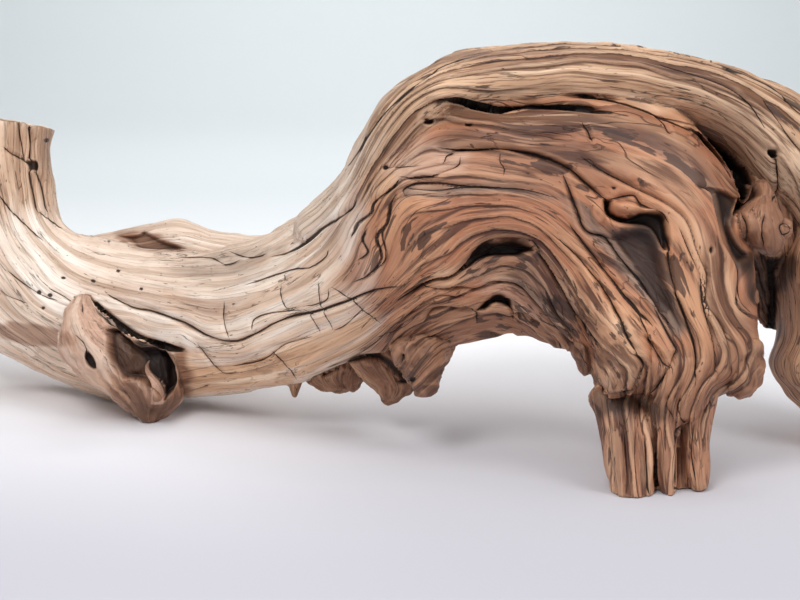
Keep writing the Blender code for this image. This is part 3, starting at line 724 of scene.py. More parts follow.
def smooth_rows(rows, steps):
    """Rows read from a Catmull-Rom curve through the given rows, `steps` to a span."""
    rows = np.asarray(rows, float)
    padded = np.vstack((2 * rows[0] - rows[1], rows, 2 * rows[-1] - rows[-2]))
    found = []
    for i in range(len(rows) - 1):
        p0, p1, p2, p3 = padded[i : i + 4]
        for t in np.arange(steps) / steps:
            bend = (2 * p0 - 5 * p1 + 4 * p2 - p3) * t**2 + (3 * p1 - p0 - 3 * p2 + p3) * t**3
            found.append(0.5 * (2 * p1 + (p2 - p0) * t + bend))
    found.append(rows[-1])
    return np.array(found)


def smoothstep(value, low, high):
    """0 below low, 1 above high, and a smooth rise between them."""
    t = np.clip((value - low) / (high - low), 0, 1)
    return t * t * (3 - 2 * t)


def lattice_noise(points, seed):
    """Smooth noise from -1 to 1, with one bump to a unit of `points`."""
    table = np.random.default_rng(seed).uniform(-1, 1, 4096)
    base = np.floor(points).astype(np.int64)
    part = points - base
    part = part * part * (3 - 2 * part)
    total = np.zeros(len(points))
    for corner in np.ndindex(2, 2, 2):
        x, y, z = (base + corner).T
        key = x * 73856093 ^ y * 19349663 ^ z * 83492791
        near_x, near_y, near_z = np.abs(1 - np.array(corner) - part).T
        total += near_x * near_y * near_z * table[key % 4096]
    return total


def with_caps(rings, bulges):
    """A limb's rings, each (centre, across, depth, size, along), with a bulging cap at both ends."""
    for end, beside, bulge in ((0, 1, bulges[0]), (-1, -2, bulges[1])):
        centre, across, depth, _size, along = rings[end]
        outward = centre - rings[beside][0]
        outward /= np.linalg.norm(outward)
        length = bulge * min(np.linalg.norm(across), np.linalg.norm(depth))
        cap = []
        for turn in (math.radians(angle) for angle in CAP_TURNS):
            lift, shrink = length * math.sin(turn), math.cos(turn)
            u = along + (lift if end else -lift)
            cap.append((centre + outward * lift, across * shrink, depth * shrink, shrink, u))
        rings = rings + cap if end else cap[::-1] + rings
    return rings


def tube_faces(ring_count):
    """Triangles of a closed tube of rings, with a fan over each end."""
    faces = []
    for ring in range(ring_count - 1):
        start, following = ring * RING_POINTS, (ring + 1) * RING_POINTS
        for k in range(RING_POINTS):
            n = (k + 1) % RING_POINTS
            faces.append((start + k, start + n, following + n))
            faces.append((start + k, following + n, following + k))
    for start, flip in ((0, True), ((ring_count - 1) * RING_POINTS, False)):
        for k in range(1, RING_POINTS - 1):
            fan = (start, start + k, start + k + 1)
            faces.append(fan[::-1] if flip else fan)
    return np.array(faces)


def limb_loft(ribs, number, bulges):
    """Points, faces and grain of a closed limb. Grain is (across, through, along), in metres."""
    rows = smooth_rows([(*one, *other, back, half) for one, other, back, half in ribs], RINGS_PER_RIB)
    one = place(rows[:, 0], rows[:, 1], rows[:, 4] * MM)
    other = place(rows[:, 2], rows[:, 3], rows[:, 4] * MM)
    centres, across = (one + other) / 2, (one - other) / 2
    depth = rows[:, 5:6] * MM * INTO
    radius = np.linalg.norm(across, axis=1).mean()
    steps = np.linalg.norm(np.diff(centres, axis=0), axis=1)
    along = np.concatenate(([0], np.cumsum(steps))) + number
    rings = [(c, a, d, 1.0, u) for c, a, d, u in zip(centres, across, depth, along)]
    rings = with_caps(rings, bulges)
    turn = np.arange(RING_POINTS) * 2 * math.pi / RING_POINTS
    points, grain = [], []
    for centre, a, d, size, u in rings:
        points.append(centre + np.outer(np.cos(turn), a) + np.outer(np.sin(turn), d))
        round_ring = radius * size * np.cos(turn), radius * size * np.sin(turn), np.full(RING_POINTS, u)
        grain.append(np.stack(round_ring, axis=1))
    points = np.concatenate(points)
    points[:, 2] = np.maximum(points[:, 2], 0)
    return points, tube_faces(len(rings)), np.concatenate(grain)


def all_limbs():
    """Every limb by name, with its points, faces and grain."""
    tables = {
        "trunk": TRUNK, "crown": CROWN, "gap wall": GAP_WALL, "right leg": RIGHT_LEG, "back limb": BACK_LIMB,
        "front leg": FRONT_LEG, "leg lobe left": LEG_LOBE_LEFT, "leg lobe middle": LEG_LOBE_MIDDLE,
        "leg lobe right": LEG_LOBE_RIGHT, "drape lobe": DRAPE_LOBE, "drape tail": DRAPE_TAIL,
        "knob": KNOB, "knob twig": KNOB_TWIG, "claw": CLAW, "hanging plate": HANGING_PLATE,
        "rear plate": REAR_PLATE, "inner lip": INNER_LIP, "hem": HEM, "peg": PEG, "under lobe": UNDER_LOBE,
        "claw splinter": CLAW_SPLINTER,
    }
    bulges = {"trunk": (0.04, 0.3), "crown": (0.7, 0.5), "knob twig": (0.7, 0.1), "hem": (0.7, 0.25)}
    return {
        name: limb_loft(ribs, number, bulges.get(name, (0.7, 0.7)))
        for number, (name, ribs) in enumerate(tables.items())
    }


def joined(limbs):
    """All limbs as one set of points, triangles, grain and limb numbers."""
    points, faces, grain, numbers, count = [], [], [], [], 0
    for number, (own_points, own_faces, own_grain) in enumerate(limbs.values()):
        points.append(own_points)
        faces.append(own_faces + count)
        grain.append(own_grain)
        numbers.append(np.full(len(own_points), number))
        count += len(own_points)
    return np.concatenate(points), np.concatenate(faces), np.concatenate(grain), np.concatenate(numbers)


def mesh_of(name, points, faces):
    """A mesh of these points and faces."""
    mesh = bpy.data.meshes.new(name)
    mesh.from_pydata(points.tolist(), [], faces.tolist())
    mesh.update()
    return mesh


def read_vectors(items, field):
    """A field of three numbers of each of the mesh's items."""
    values = np.empty(len(items) * 3, dtype=np.float32)
    items.foreach_get(field, values)
    return values.reshape(-1, 3).astype(float)


class Skin:
    """The one skin of the branch while it is carved: its points, normals and what they show."""

    def __init__(self, points, faces):
        obj = bpy.data.objects.new("skin", mesh_of("skin", points, faces))
        bpy.context.scene.collection.objects.link(obj)
        remesh = obj.modifiers.new("one skin", "REMESH")
        remesh.mode = "VOXEL"
        remesh.voxel_size = VOXEL
        soften = obj.modifiers.new("soft joins", "SMOOTH")
        soften.factor = 0.6
        soften.iterations = max(2, round(SMOOTHING_RADIUS**2 / (0.6 * VOXEL**2)))
        graph = bpy.context.evaluated_depsgraph_get()
        obj.data = bpy.data.meshes.new_from_object(obj.evaluated_get(graph))
        obj.modifiers.clear()
        self.mesh = obj.data
        self.take_points()
        self.look()
        behind = obj.vertex_groups.new(name="behind")
        behind.add(np.flatnonzero(self.turned == 0).tolist(), 1.0, "REPLACE")
        thin = obj.modifiers.new("thin behind", "DECIMATE")
        thin.ratio = min(1.0, TRIANGLES / (2 * len(self.mesh.polygons)))
        thin.vertex_group = "behind"
        graph = bpy.context.evaluated_depsgraph_get()
        self.mesh = bpy.data.meshes.new_from_object(obj.evaluated_get(graph))
        bpy.data.objects.remove(obj)
        self.take_points()

    def take_points(self):
        """Reads the mesh's points and edges."""
        self.points = read_vectors(self.mesh.vertices, "co")
        edges = np.empty(len(self.mesh.edges) * 2, dtype=np.int32)
        self.mesh.edges.foreach_get("vertices", edges)
        self.edges = edges.reshape(-1, 2)
        self.degree = np.bincount(self.edges.ravel(), minlength=len(self.points))
        self.refresh()

    def refresh(self):
        """Hands the moved points to the mesh and reads its new normals."""
        self.points[:, 2] = np.maximum(self.points[:, 2], 0)
        self.mesh.vertices.foreach_set("co", self.points.astype(np.float32).ravel())
        self.mesh.update()
        self.normals = read_vectors(self.mesh.vertices, "normal")

    def smoothed(self, values, passes):
        """Values, one or more to a point, averaged with their neighbours a number of times."""
        values = values.astype(float)
        columns = values.reshape(len(values), -1)
        a, b = self.edges[:, 0], self.edges[:, 1]
        for _pass in range(passes):
            new = np.empty_like(columns)
            for i in range(columns.shape[1]):
                column = columns[:, i]
                total = np.bincount(a, column[b], len(column)) + np.bincount(b, column[a], len(column))
                new[:, i] = 0.5 * column + 0.5 * total / self.degree
            columns = new
        return columns.reshape(values.shape)

    def look(self):
        """What the eye sees: picture places, depths, and how fully each point faces the eye unhidden."""
        self.seen, self.back = picture(self.points)
        to_eye = EYE - self.points
        to_eye /= np.linalg.norm(to_eye, axis=1)[:, None]
        facing = np.einsum("ij,ij->i", self.normals, to_eye)
        cell = max(3.0, 1.6 * VOXEL / UNIT)
        column = np.floor((self.seen[:, 0] + 200) / cell).astype(int)
        row = np.floor((self.seen[:, 1] + 50) / cell).astype(int)
        width = column.max() + 1
        nearest = np.full(width * (row.max() + 1), np.inf)
        np.minimum.at(nearest, row * width + column, self.back)
        unhidden = self.back - nearest[row * width + column] < HIDDEN_BEYOND
        self.front = np.clip(3.0 * facing, 0, 1) * unhidden
        self.turned = np.clip(2.5 * facing + 1.0, 0, 1)


def barycentric(places, corners):
    """Weights of each triangle's three corners at a place in it."""
    a, b, c = corners[:, 0], corners[:, 1], corners[:, 2]
    ab, ac, ap = b - a, c - a, places - a
    d00, d01, d11 = (ab * ab).sum(1), (ab * ac).sum(1), (ac * ac).sum(1)
    d20, d21 = (ap * ab).sum(1), (ap * ac).sum(1)
    area = np.maximum(d00 * d11 - d01 * d01, 1e-18)
    v = (d11 * d20 - d01 * d21) / area
    w = (d00 * d21 - d01 * d20) / area
    return np.clip(np.stack((1 - v - w, v, w), axis=1), 0, 1)


def read_grain(skin, points, faces, grain, numbers):
    """Each skin point's grain and limb, read from the nearest place on the limbs."""
    tree = BVHTree.FromPolygons(points.tolist(), faces.tolist(), all_triangles=True)
    found = [tree.find_nearest(point) for point in skin.points.tolist()]
    face = faces[np.array([hit[2] for hit in found])]
    place_on = np.array([tuple(hit[0]) for hit in found])
    weights = barycentric(place_on, points[face])
    weights /= weights.sum(axis=1)[:, None]
    skin.grain = (grain[face] * weights[:, :, None]).sum(axis=1)
    skin.limb = numbers[face[:, 0]]


def near(seen, corners, margin):
    """The points whose picture place is inside the corners' box, widened by a margin."""
    low, high = corners.min(axis=0) - margin, corners.max(axis=0) + margin
    return np.flatnonzero(((seen > low) & (seen < high)).all(axis=1))


def along_polyline(seen, corners):
    """Distance to a polyline, share of its length at the nearest place, and the side, left being +1."""
    spans = np.diff(corners, axis=0)
    lengths = np.linalg.norm(spans, axis=1)
    starts = np.concatenate(([0], np.cumsum(lengths)))
    nearest = np.full(len(seen), np.inf)
    share, side = np.zeros(len(seen)), np.ones(len(seen))
    for corner, span, length, start in zip(corners, spans, lengths, starts):
        offset = seen - corner
        t = np.clip(offset @ span / length**2, 0, 1)
        foot = corner + t[:, None] * span
        gap = np.linalg.norm(seen - foot, axis=1)
        closer = gap < nearest
        nearest[closer] = gap[closer]
        share[closer] = (start + t[closer] * length) / starts[-1]
        turn = span[0] * offset[:, 1] - span[1] * offset[:, 0]
        side[closer] = np.where(turn[closer] < 0, 1, -1)
    return nearest, share, side


def carve_lines(skin):
    """Cuts the traced cracks, raises their lips and notes how far each point lies from its crack."""
    cut, lip = np.zeros(len(skin.points)), np.zeros(len(skin.points))
    skin.trace, skin.traced = np.full(len(skin.points), 9.0), np.zeros(len(skin.points))
    nearest = np.full(len(skin.points), np.inf)
    spacing = VOXEL / UNIT
    for half_width, depth, lip_height, corners in LINES.values():
        line = smooth_rows(corners, 4)
        some = near(skin.seen, line, 26)
        some = some[skin.front[some] > 0]
        if not len(some):
            continue
        gap, share, side = along_polyline(skin.seen[some], line)
        fade = np.minimum(1, 7 * np.minimum(share, 1 - share) + 0.2)
        reach = max(half_width, 1.5 * spacing)
        full = skin.front[some] * fade
        cut[some] = np.maximum(cut[some], depth * np.exp(-((gap / reach) ** 2)) * full)
        raised = side * np.sign(lip_height) > 0
        swell = abs(lip_height) * np.where(raised, np.exp(-gap / 8), -0.5 * np.exp(-gap / 5))
        lip[some] += swell * full * (lip_height != 0)
        closer = gap < nearest[some]
        chosen = some[closer]
        nearest[chosen] = gap[closer]
        skin.trace[chosen] = (side * gap)[closer] / (half_width * (0.35 + 0.65 * fade[closer]))
        strength = min(1, 0.45 + depth / 7) * np.minimum(1, 3 * skin.front[some])
        skin.traced[chosen] = (strength * np.exp(-((gap / (1.9 * spacing)) ** 2)))[closer]
    skin.points += skin.normals * (skin.smoothed(lip - cut, 1) * MM)[:, None]


def inside(seen, corners):
    """Which picture places lie inside an outline."""
    x, y = seen[:, 0], seen[:, 1]
    result = np.zeros(len(seen), bool)
    for (x0, y0), (x1, y1) in zip(corners, np.roll(corners, -1, axis=0)):
        crosses = (y0 > y) != (y1 > y)
        level = (x1 - x0) * (y - y0) / (y1 - y0 if y1 != y0 else 1e-9) + x0
        result ^= crosses & (x < level)
    return result


def carve_hollows(skin):
    """Pushes the traced hollows and holes into the front, and paints shade into them."""
    pushed = np.zeros(len(skin.points))
    for depth, softness, painted_shade, corners in HOLLOWS.values():
        outline = smooth_rows([*corners, corners[0]], 3)
        some = near(skin.seen, outline, 4)
        some = some[skin.front[some] > 0]
        gap = along_polyline(skin.seen[some], outline)[0]
        within = np.where(inside(skin.seen[some], outline), gap, -gap)
        share = smoothstep(within, -0.8, softness) * skin.front[some]
        pushed[some] = np.maximum(pushed[some], depth * share)
        # Shade is painted into the hollow.
        skin.dark[some] = np.maximum(skin.dark[some], painted_shade * share)
    for centre, half_size, turn, depth in HOLES:
        some, share = oval(skin, centre, half_size, turn, 1.35)
        share = smoothstep(share, 0, 0.7)
        pushed[some] = np.maximum(pushed[some], depth * share)
        # Shade is painted into the hole.
        skin.dark[some] = np.maximum(skin.dark[some], share)
    skin.points += INTO * (skin.smoothed(pushed, 2) * MM)[:, None]


def oval(skin, centre, half_size, turn, margin=1.0):
    """The front points in an oval, and how near its middle each is, from 0 at the edge to 1."""
    centre, half_size = np.asarray(centre, float), np.asarray(half_size, float) * margin
    some = near(skin.seen, centre[None], half_size.max())
    some = some[skin.front[some] > 0]
    angle = math.radians(turn)
    offset = skin.seen[some] - centre
    across = (offset[:, 0] * math.cos(angle) + offset[:, 1] * math.sin(angle)) / half_size[0]
    down = (offset[:, 1] * math.cos(angle) - offset[:, 0] * math.sin(angle)) / half_size[1]
    return some, np.clip(1 - across**2 - down**2, 0, 1) * skin.front[some]


def raise_swellings(skin):
    """Raises the traced swellings of the front."""
    height = np.zeros(len(skin.points))
    for centre, half_size, turn, rise in SWELLINGS:
        some, share = oval(skin, centre, half_size, turn)
        height[some] += rise * smoothstep(share, 0, 1)
    skin.points += skin.normals * (height * MM)[:, None]


def smooth_field(spots, values, places):
    """A smooth field through values at picture spots (a thin plate), read at other places."""
    spots, places = np.asarray(spots, float) / 100, np.asarray(places, float) / 100

    def plate(a, b):
        square = (a[:, None, 0] - b[None, :, 0]) ** 2 + (a[:, None, 1] - b[None, :, 1]) ** 2
        return 0.5 * square * np.log(square + 1e-9)

    flat = np.hstack((np.ones((len(spots), 1)), spots))
    system = np.block([[plate(spots, spots) + 0.02 * np.eye(len(spots)), flat], [flat.T, np.zeros((3, 3))]])
    weights = np.linalg.solve(system, np.concatenate((values, np.zeros(3))))
    found = np.empty(len(places))
    for start in range(0, len(places), 20000):
        some = places[start : start + 20000]
        found[start : start + 20000] = plate(some, spots) @ weights[:-3] + weights[-3] + some @ weights[-2:]
    return found


def lengths_along_limbs():
    """Picture spots on the trunk and the front leg, and how far along the grain each lies, in metres."""
    rows = np.array([(*one, *other) for one, other, _back, _half in TRUNK], float)
    middle = (rows[:, :2] + rows[:, 2:]) / 2
    along = np.concatenate(([0], np.cumsum(np.linalg.norm(np.diff(middle, axis=0), axis=1)))) * UNIT
    foot_rows = np.array([(*one, *other) for one, other, _back, _half in FRONT_LEG[2:]], float)
    foot_along = along[-1] + (foot_rows[:, 1] - 385) * UNIT
    spots = (rows[:, :2], middle, rows[:, 2:], foot_rows[:, :2], foot_rows[:, 2:])
    return np.concatenate(spots), np.concatenate((along, along, along, foot_along, foot_along))


def follow_flow(skin):
    """Gives the flowing limbs the grain of the flow lines, and the sawn end its rings."""
    flow_spots = [spot for _level, line in FLOW for spot in line]
    levels = [level * MM for level, line in FLOW for _spot in line]
    flowing = np.isin(skin.limb, [list(LIMBS).index(name) for name in FLOWING])
    chosen = np.flatnonzero(flowing)
    across, through, own_along = skin.grain.T.copy()
    skin.cut_end = np.flatnonzero((skin.limb == 0) & (own_along < -0.0001))
    skin.grain[chosen, 0] = smooth_field(flow_spots, levels, skin.seen[chosen])
    skin.grain[chosen, 1] *= 1 - smoothstep(skin.turned[chosen], 0, 1)
    layers_behind(skin, across, through)
    skin.grain[chosen, 2] = smooth_field(*lengths_along_limbs(), skin.seen[chosen])
    ring = np.hypot(across, through)[skin.cut_end]
    round_ring = np.arctan2(through, across)[skin.cut_end]
    skin.grain[skin.cut_end] = np.stack((ring, 0 * ring, 0.03 * round_ring), axis=1)
    family = np.where(flowing, -1, skin.limb)
    a, b = skin.edges[:, 0], skin.edges[:, 1]
    apart = (family[a] != family[b]).astype(float)
    meeting = np.bincount(a, apart, len(family)) + np.bincount(b, apart, len(family)) > 0
    skin.inside_limb = 1 - np.clip(4 * skin.smoothed(meeting, 4), 0, 1)


def layers_behind(skin, across, through):
    """Lets the layers run on round the back of the limbs that the flow only covers in front."""
    skin.lift = 0.5 * np.abs(skin.grain[:, 1])
    for name, depth in LAYERS_BEHIND.items():
        some = np.flatnonzero(skin.limb == list(LIMBS).index(name))
        radius = LIMBS[name][2][:, 0].max()
        behind = depth * (1 + through[some] / radius)
        side = across[some] / radius
        if name == "crown":
            side, weight = smoothstep(side, -0.3, 0.4), 1.0
        else:
            weight = 1 - smoothstep(skin.seen[some, 0], *LOW_END)
        skin.lift[some] += weight * (-0.35 * behind * side - skin.lift[some])
        skin.grain[some, 1] += weight * (0.5 * behind - skin.grain[some, 1])


def roughen(skin):
    """Breaks up the rotten ends."""
    amount = np.array([ROUGH.get(name, 0.0) for name in LIMBS])[skin.limb]
    amount = skin.smoothed(amount, 5)
    some = np.flatnonzero(amount > 0.01)
    points = skin.points[some]
    coarse = lattice_noise(points / 0.011, 31)
    ridges = 1 - 2 * np.abs(lattice_noise(points / np.array((0.007, 0.007, 0.014)), 32))
    height = 1.8 * coarse + 1.3 * ridges + 0.5 * lattice_noise(points / 0.0035, 33)
    skin.points[some] += skin.normals[some] * (height * amount[some] * MM)[:, None]


def weather(skin):
    """Lays ledges along the grain where the grown layers have worn back one by one."""
    across, through, along = skin.grain.T

    def noise(width, length, seed):
        return lattice_noise(np.stack((across / width, through / width, along / length), axis=1), seed)

    level = across + skin.lift
    level = level + 0.0050 * noise(0.045, 0.100, 11) + 0.0024 * noise(0.016, 0.040, 12)
    level = level + 0.0007 * noise(0.006, 0.014, 13)
    skin.level = level / LAYER
    step = skin.level - np.floor(skin.level)
    worn = np.array([CALM.get(name, 1.0) for name in LIMBS])[skin.limb]
    skin.lively = (1 - 0.65 * skin.pale) * skin.smoothed(worn, 3)
    skin.edge = skin.lively * skin.inside_limb * smoothstep(noise(0.030, 0.080, 14), -0.7, 0.25)
    ledge = step**1.5 - smoothstep(step, 0.9, 1.0)
    height = skin.edge * 2.3 * ledge + 0.25 * noise(0.004, 0.030, 17) * skin.inside_limb
    skin.points += skin.normals * (height * MM)[:, None]


def from_screen(colour):
    """A colour as seen on a screen, 0 to 255, in the linear light that shaders work in."""
    value = np.asarray(colour, float) / 255
    return np.where(value <= 0.04045, value / 12.92, ((value + 0.055) / 1.055) ** 2.4)


def bleach(skin):
    """How bleached each point is: the low limb wholly, the rest of the branch not."""
    wander = 10 * lattice_noise(skin.points / 0.035, 21)
    wander = wander + 8 * lattice_noise(skin.grain / (0.006, 0.006, 0.04), 22)
    edge = np.interp(skin.seen[:, 1], *zip(*BLEACHED_EDGE))
    dull = np.isin(skin.limb, [number for number, name in enumerate(LIMBS) if name.startswith(DULL)])
    skin.pale = smoothstep(edge + 1.6 * wander - skin.seen[:, 0], -24, 24) * np.where(dull, 0.0, 1.0)
    skin.pale[skin.cut_end] = CUT_PALE


def blend(share, kind, amount, some=slice(None)):
    """Turns the mix of woods of some points towards one kind."""
    part = share[some]
    part *= (1 - amount)[:, None]
    part[:, list(PALETTES).index(kind)] += amount
    share[some] = part


def mix_of_woods(skin):
    """The share of each kind of wood at every point, before the washes and patches."""
    kinds = list(PALETTES)
    share = np.zeros((len(skin.points), len(kinds)))
    kind_of = {limb: kinds.index(kind) for kind, limbs in LIMBS_OF_WOOD.items() for limb in limbs}
    limb_kind = np.array([kind_of[name] for name in LIMBS])
    share[np.arange(len(skin.points)), limb_kind[skin.limb]] = 1
    share = skin.smoothed(share, 12)
    low = skin.seen[:, 1] + 20 * lattice_noise(skin.grain / (0.008, 0.008, 0.06), 26)
    down, right = RUSSET_FROM
    blend(share, "russet", smoothstep(low, *down) * smoothstep(skin.seen[:, 0], *right))
    share[skin.cut_end] = 0
    share[skin.cut_end, kinds.index("tan")] = 1
    blend(share, "bleached", skin.pale)
    return share


def wash_and_patch(skin, share):
    """Lays the washes and patches of the front over the mix, ragged along the grain."""
    streaky = skin.grain / np.array((0.0035, 0.0035, 0.030))
    for kind, centre, half_size, turn, strength in WASHES:
        some, near_middle = oval(skin, centre, half_size, turn, 1.25)
        ragged = smoothstep(near_middle + 0.35 * lattice_noise(streaky[some], 23), 0.05, 0.6)
        blend(share, kind, strength * ragged, some)
    for kind, strength, softness, corners in PATCHES:
        outline = smooth_rows([*corners, corners[0]], 3)
        some = near(skin.seen, outline, 12)
        some = some[skin.front[some] > 0]
        gap = along_polyline(skin.seen[some], outline)[0]
        within = np.where(inside(skin.seen[some], outline), gap, -gap)
        within = within + softness * lattice_noise(streaky[some], 25)
        full = smoothstep(within, -softness, softness)
        blend(share, kind, strength * full * skin.front[some], some)


def colour(skin):
    """Gives every point its middle, deep and bright colour from the palettes, and its stain."""
    share = mix_of_woods(skin)
    wash_and_patch(skin, share)
    skin.colours = [
        sum(share[:, i : i + 1] * from_screen(shades[level]) for i, shades in enumerate(PALETTES.values()))
        for level in range(3)
    ]
    skin.stain = np.zeros(len(skin.points))
    for centre, half_size, turn, strength in STAINS:
        some, near_middle = oval(skin, centre, half_size, turn, 1.3)
        stained = strength * smoothstep(near_middle, 0.0, 0.6)
        skin.stain[some] = np.maximum(skin.stain[some], stained)


def relief(skin):
    """How far each point stands out from the skin round it, from -1 in a furrow to 1 on a crest; the shader
    paints highlight on crests and shade in furrows from it.
    """
    passes = 8
    mean = skin.smoothed(skin.points, passes)
    height = np.einsum("ij,ij->i", skin.points - mean, skin.normals)
    skin.relief = np.clip(height / (0.6 * MM), -1, 1)


def node(tree, kind, inputs=None, **settings):
    """A shader node with its settings and its inputs, each a value or another node's output."""
    made = tree.nodes.new(kind)
    for name, value in settings.items():
        setattr(made, name, value)
    for name, value in (inputs or {}).items():
        if isinstance(value, bpy.types.NodeSocket):
            tree.links.new(value, made.inputs[name])
        else:
            made.inputs[name].default_value = value
    return made


# Steps of the shader. Each stands in the tree that its first socket belongs to.
def calculate(operation, first, second=0.0):
    return node(first.id_data, "ShaderNodeMath", {0: first, 1: second}, operation=operation).outputs[0]


def times(first, second):
    return calculate("MULTIPLY", first, second)


def plus(first, second):
    return calculate("ADD", first, second)


def ramp(value, low, high, to_low=0.0, to_high=1.0):
    """A smooth change from to_low to to_high while the value goes from low to high."""
    ends = {"Value": value, "From Min": low, "From Max": high, "To Min": to_low, "To Max": to_high}
    return node(value.id_data, "ShaderNodeMapRange", ends, interpolation_type="SMOOTHSTEP").outputs["Result"]


def mix_colours(factor, first, second):
    """The first colour turned towards the second."""
    ends = {"Factor": factor, 6: first, 7: second}
    return node(factor.id_data, "ShaderNodeMix", ends, data_type="RGBA").outputs[2]


def grain_noise(grain, width, length, detail, distortion):
    """Noise drawn out along the grain: width across it and length along it, in metres."""
    tree = grain.id_data
    sizes = {0: grain, 1: (1 / width, 1 / width, 1 / length)}
    stretched = node(tree, "ShaderNodeVectorMath", sizes, operation="MULTIPLY").outputs[0]
    inputs = {"Vector": stretched, "Scale": 1.0, "Detail": detail, "Distortion": distortion}
    return node(tree, "ShaderNodeTexNoise", inputs).outputs["Fac"]


def attribute(tree, name, output="Fac"):
    """What the skin holds at each point under a name."""
    return node(tree, "ShaderNodeAttribute", attribute_name=name).outputs[output]


def thin_lines(noise, level, width):
    """1 along the contour where noise passes a level, falling to 0 at a width from it."""
    return ramp(calculate("ABSOLUTE", calculate("SUBTRACT", noise, level)), 0.0, width, 1.0, 0.0)


class Wood:
    """The wood's shader while it is made: its tone and height so far, and what they are read from."""

    def __init__(self, tree):
        self.tree = tree
        self.grain = attribute(tree, "grain", "Vector")
        self.tone, self.deep, self.bright = (
            attribute(tree, name, "Color") for name in ("middle", "deep", "bright")
        )
        self.calm = ramp(attribute(tree, "lively"), 0.0, 1.0, 0.25, 1.0)
        self.broad = grain_noise(self.grain, 0.014, 0.120, 4.0, 0.5)
        self.streaks = grain_noise(self.grain, 0.0040, 0.080, 6.0, 0.4)
        self.fine = grain_noise(self.grain, 0.0012, 0.040, 4.0, 0.2)
        self.ragged = grain_noise(self.grain, 0.0040, 0.014, 4.0, 0.2)
        self.busy = ramp(grain_noise(self.grain, 0.024, 0.110, 2.0, 0.3), 0.40, 0.60, 0.25, 1.0)
        self.level = plus(attribute(tree, "level"), times(plus(self.ragged, -0.5), 0.22))
        self.height = plus(times(self.streaks, 0.8), times(self.fine, 0.45))

    def paint(self, amount, shade):
        """Turns the tone towards a colour: another socket's, or one as seen on a screen."""
        if isinstance(shade, tuple):
            shade = (*from_screen(shade), 1)
        self.tone = mix_colours(amount, self.tone, shade)

    def stand_out(self, mark, amount):
        """Raises a mark in the bump, or sinks it where the amount is below 0."""
        self.height = plus(self.height, times(mark, amount))

    def lay_tones(self):
        """A tone for each grown layer, with streaks and fibres in it."""
        calm, streaks, fine = self.calm, self.streaks, self.fine
        layer = {"W": calculate("FLOOR", self.level)}
        own = node(self.tree, "ShaderNodeTexWhiteNoise", layer, noise_dimensions="1D").outputs["Value"]
        shade = plus(times(plus(own, -0.5), 0.30), self.broad)
        self.paint(times(ramp(shade, 0.52, 0.28), calm), self.deep)
        self.paint(ramp(shade, 0.50, 0.74), self.bright)
        self.paint(times(ramp(streaks, 0.48, 0.37, 0.0, 0.90), calm), self.deep)
        self.paint(times(ramp(fine, 0.45, 0.34, 0.0, 0.60), calm), self.deep)
        self.paint(times(ramp(fine, 0.55, 0.66, 0.0, 0.45), calm), self.bright)

    def draw_ledges(self):
        """Fine rings, the dark line of painted shade under each ledge, its bright lip of painted highlight,
        and pale crests and deep furrows of painted highlight and shade.
        """
        edge, stand = attribute(self.tree, "edge"), attribute(self.tree, "relief")
        ring = calculate("FRACT", times(self.level, RINGS))
        ring_line = times(ramp(calculate("ABSOLUTE", plus(ring, -0.5)), 0.10, 0.0), self.calm)
        ring_line = times(times(ring_line, ramp(self.streaks, 0.60, 0.42)), times(edge, self.busy))
        self.paint(times(ring_line, 0.60), self.deep)
        step = calculate("FRACT", self.level)
        # Painted shade: a dark line at the foot of each ledge. Painted highlight: a bright lip along its
        # top.
        ledge_shade_line = times(ramp(step, 0.16, 0.02), times(edge, ramp(self.broad, 0.62, 0.45, 0.25, 1.0)))
        lip = times(ramp(step, 0.72, 0.96), times(edge, ramp(step, 1.0, 0.97)))
        self.paint(times(lip, 0.40), self.bright)
        self.paint(times(ledge_shade_line, 0.75), DUSK)
        # Painted highlight on crests and painted shade in furrows, from the relief.
        self.paint(ramp(stand, 0.15, 0.9, 0.0, 0.30), self.bright)
        self.paint(ramp(stand, -0.15, -0.9, 0.0, 0.60), self.deep)
        self.stand_out(ring_line, -0.25)
        self.stand_out(ledge_shade_line, -0.7)

    def draw_checks(self):
        """Long checks along the grain, short hair cracks, and small dark specks."""
        checks = thin_lines(grain_noise(self.grain, 0.011, 0.150, 3.0, 0.3), 0.5, 0.007)
        checks = times(checks, times(self.calm, ramp(self.busy, 0.5, 0.9, 0.15, 1.0)))
        self.paint(times(checks, 0.65), DUSK)
        hairs = thin_lines(grain_noise(self.grain, 0.0055, 0.060, 4.0, 0.5), 0.5, 0.014)
        hairs = times(hairs, ramp(grain_noise(self.grain, 0.016, 0.050, 2.0, 0.0), 0.50, 0.62))
        self.paint(times(hairs, 0.70), DUSK)
        specks = ramp(grain_noise(self.grain, 0.0011, 0.0045, 1.0, 0.0), 0.70, 0.76)
        specks = times(specks, ramp(self.ragged, 0.40, 0.55))
        self.paint(times(specks, 0.75), DUSK)
        self.stand_out(checks, -0.6)
        self.stand_out(plus(hairs, specks), -0.5)

    def stain_and_crack(self):
        """Dark stains, the traced cracks, and shade painted into cracks, hollows and holes."""
        pale, streaks = attribute(self.tree, "pale"), self.streaks
        flecks = grain_noise(self.grain, 0.0026, 0.026, 5.0, 0.3)
        spread = plus(times(streaks, 0.8), times(flecks, 1.3))
        spread = plus(spread, times(attribute(self.tree, "stain"), 0.30))
        stained = times(times(ramp(spread, 1.24, 1.30), ramp(pale, 0.9, 0.1)), self.calm)
        self.paint(times(stained, 0.80), DUSK)
        aside = plus(attribute(self.tree, "trace"), times(plus(self.ragged, -0.5), 0.9))
        wander = plus(calculate("ABSOLUTE", aside), times(plus(streaks, -0.5), 1.6))
        crack = times(ramp(wander, 0.62, 0.12), ramp(attribute(self.tree, "traced"), 0.25, 0.65))
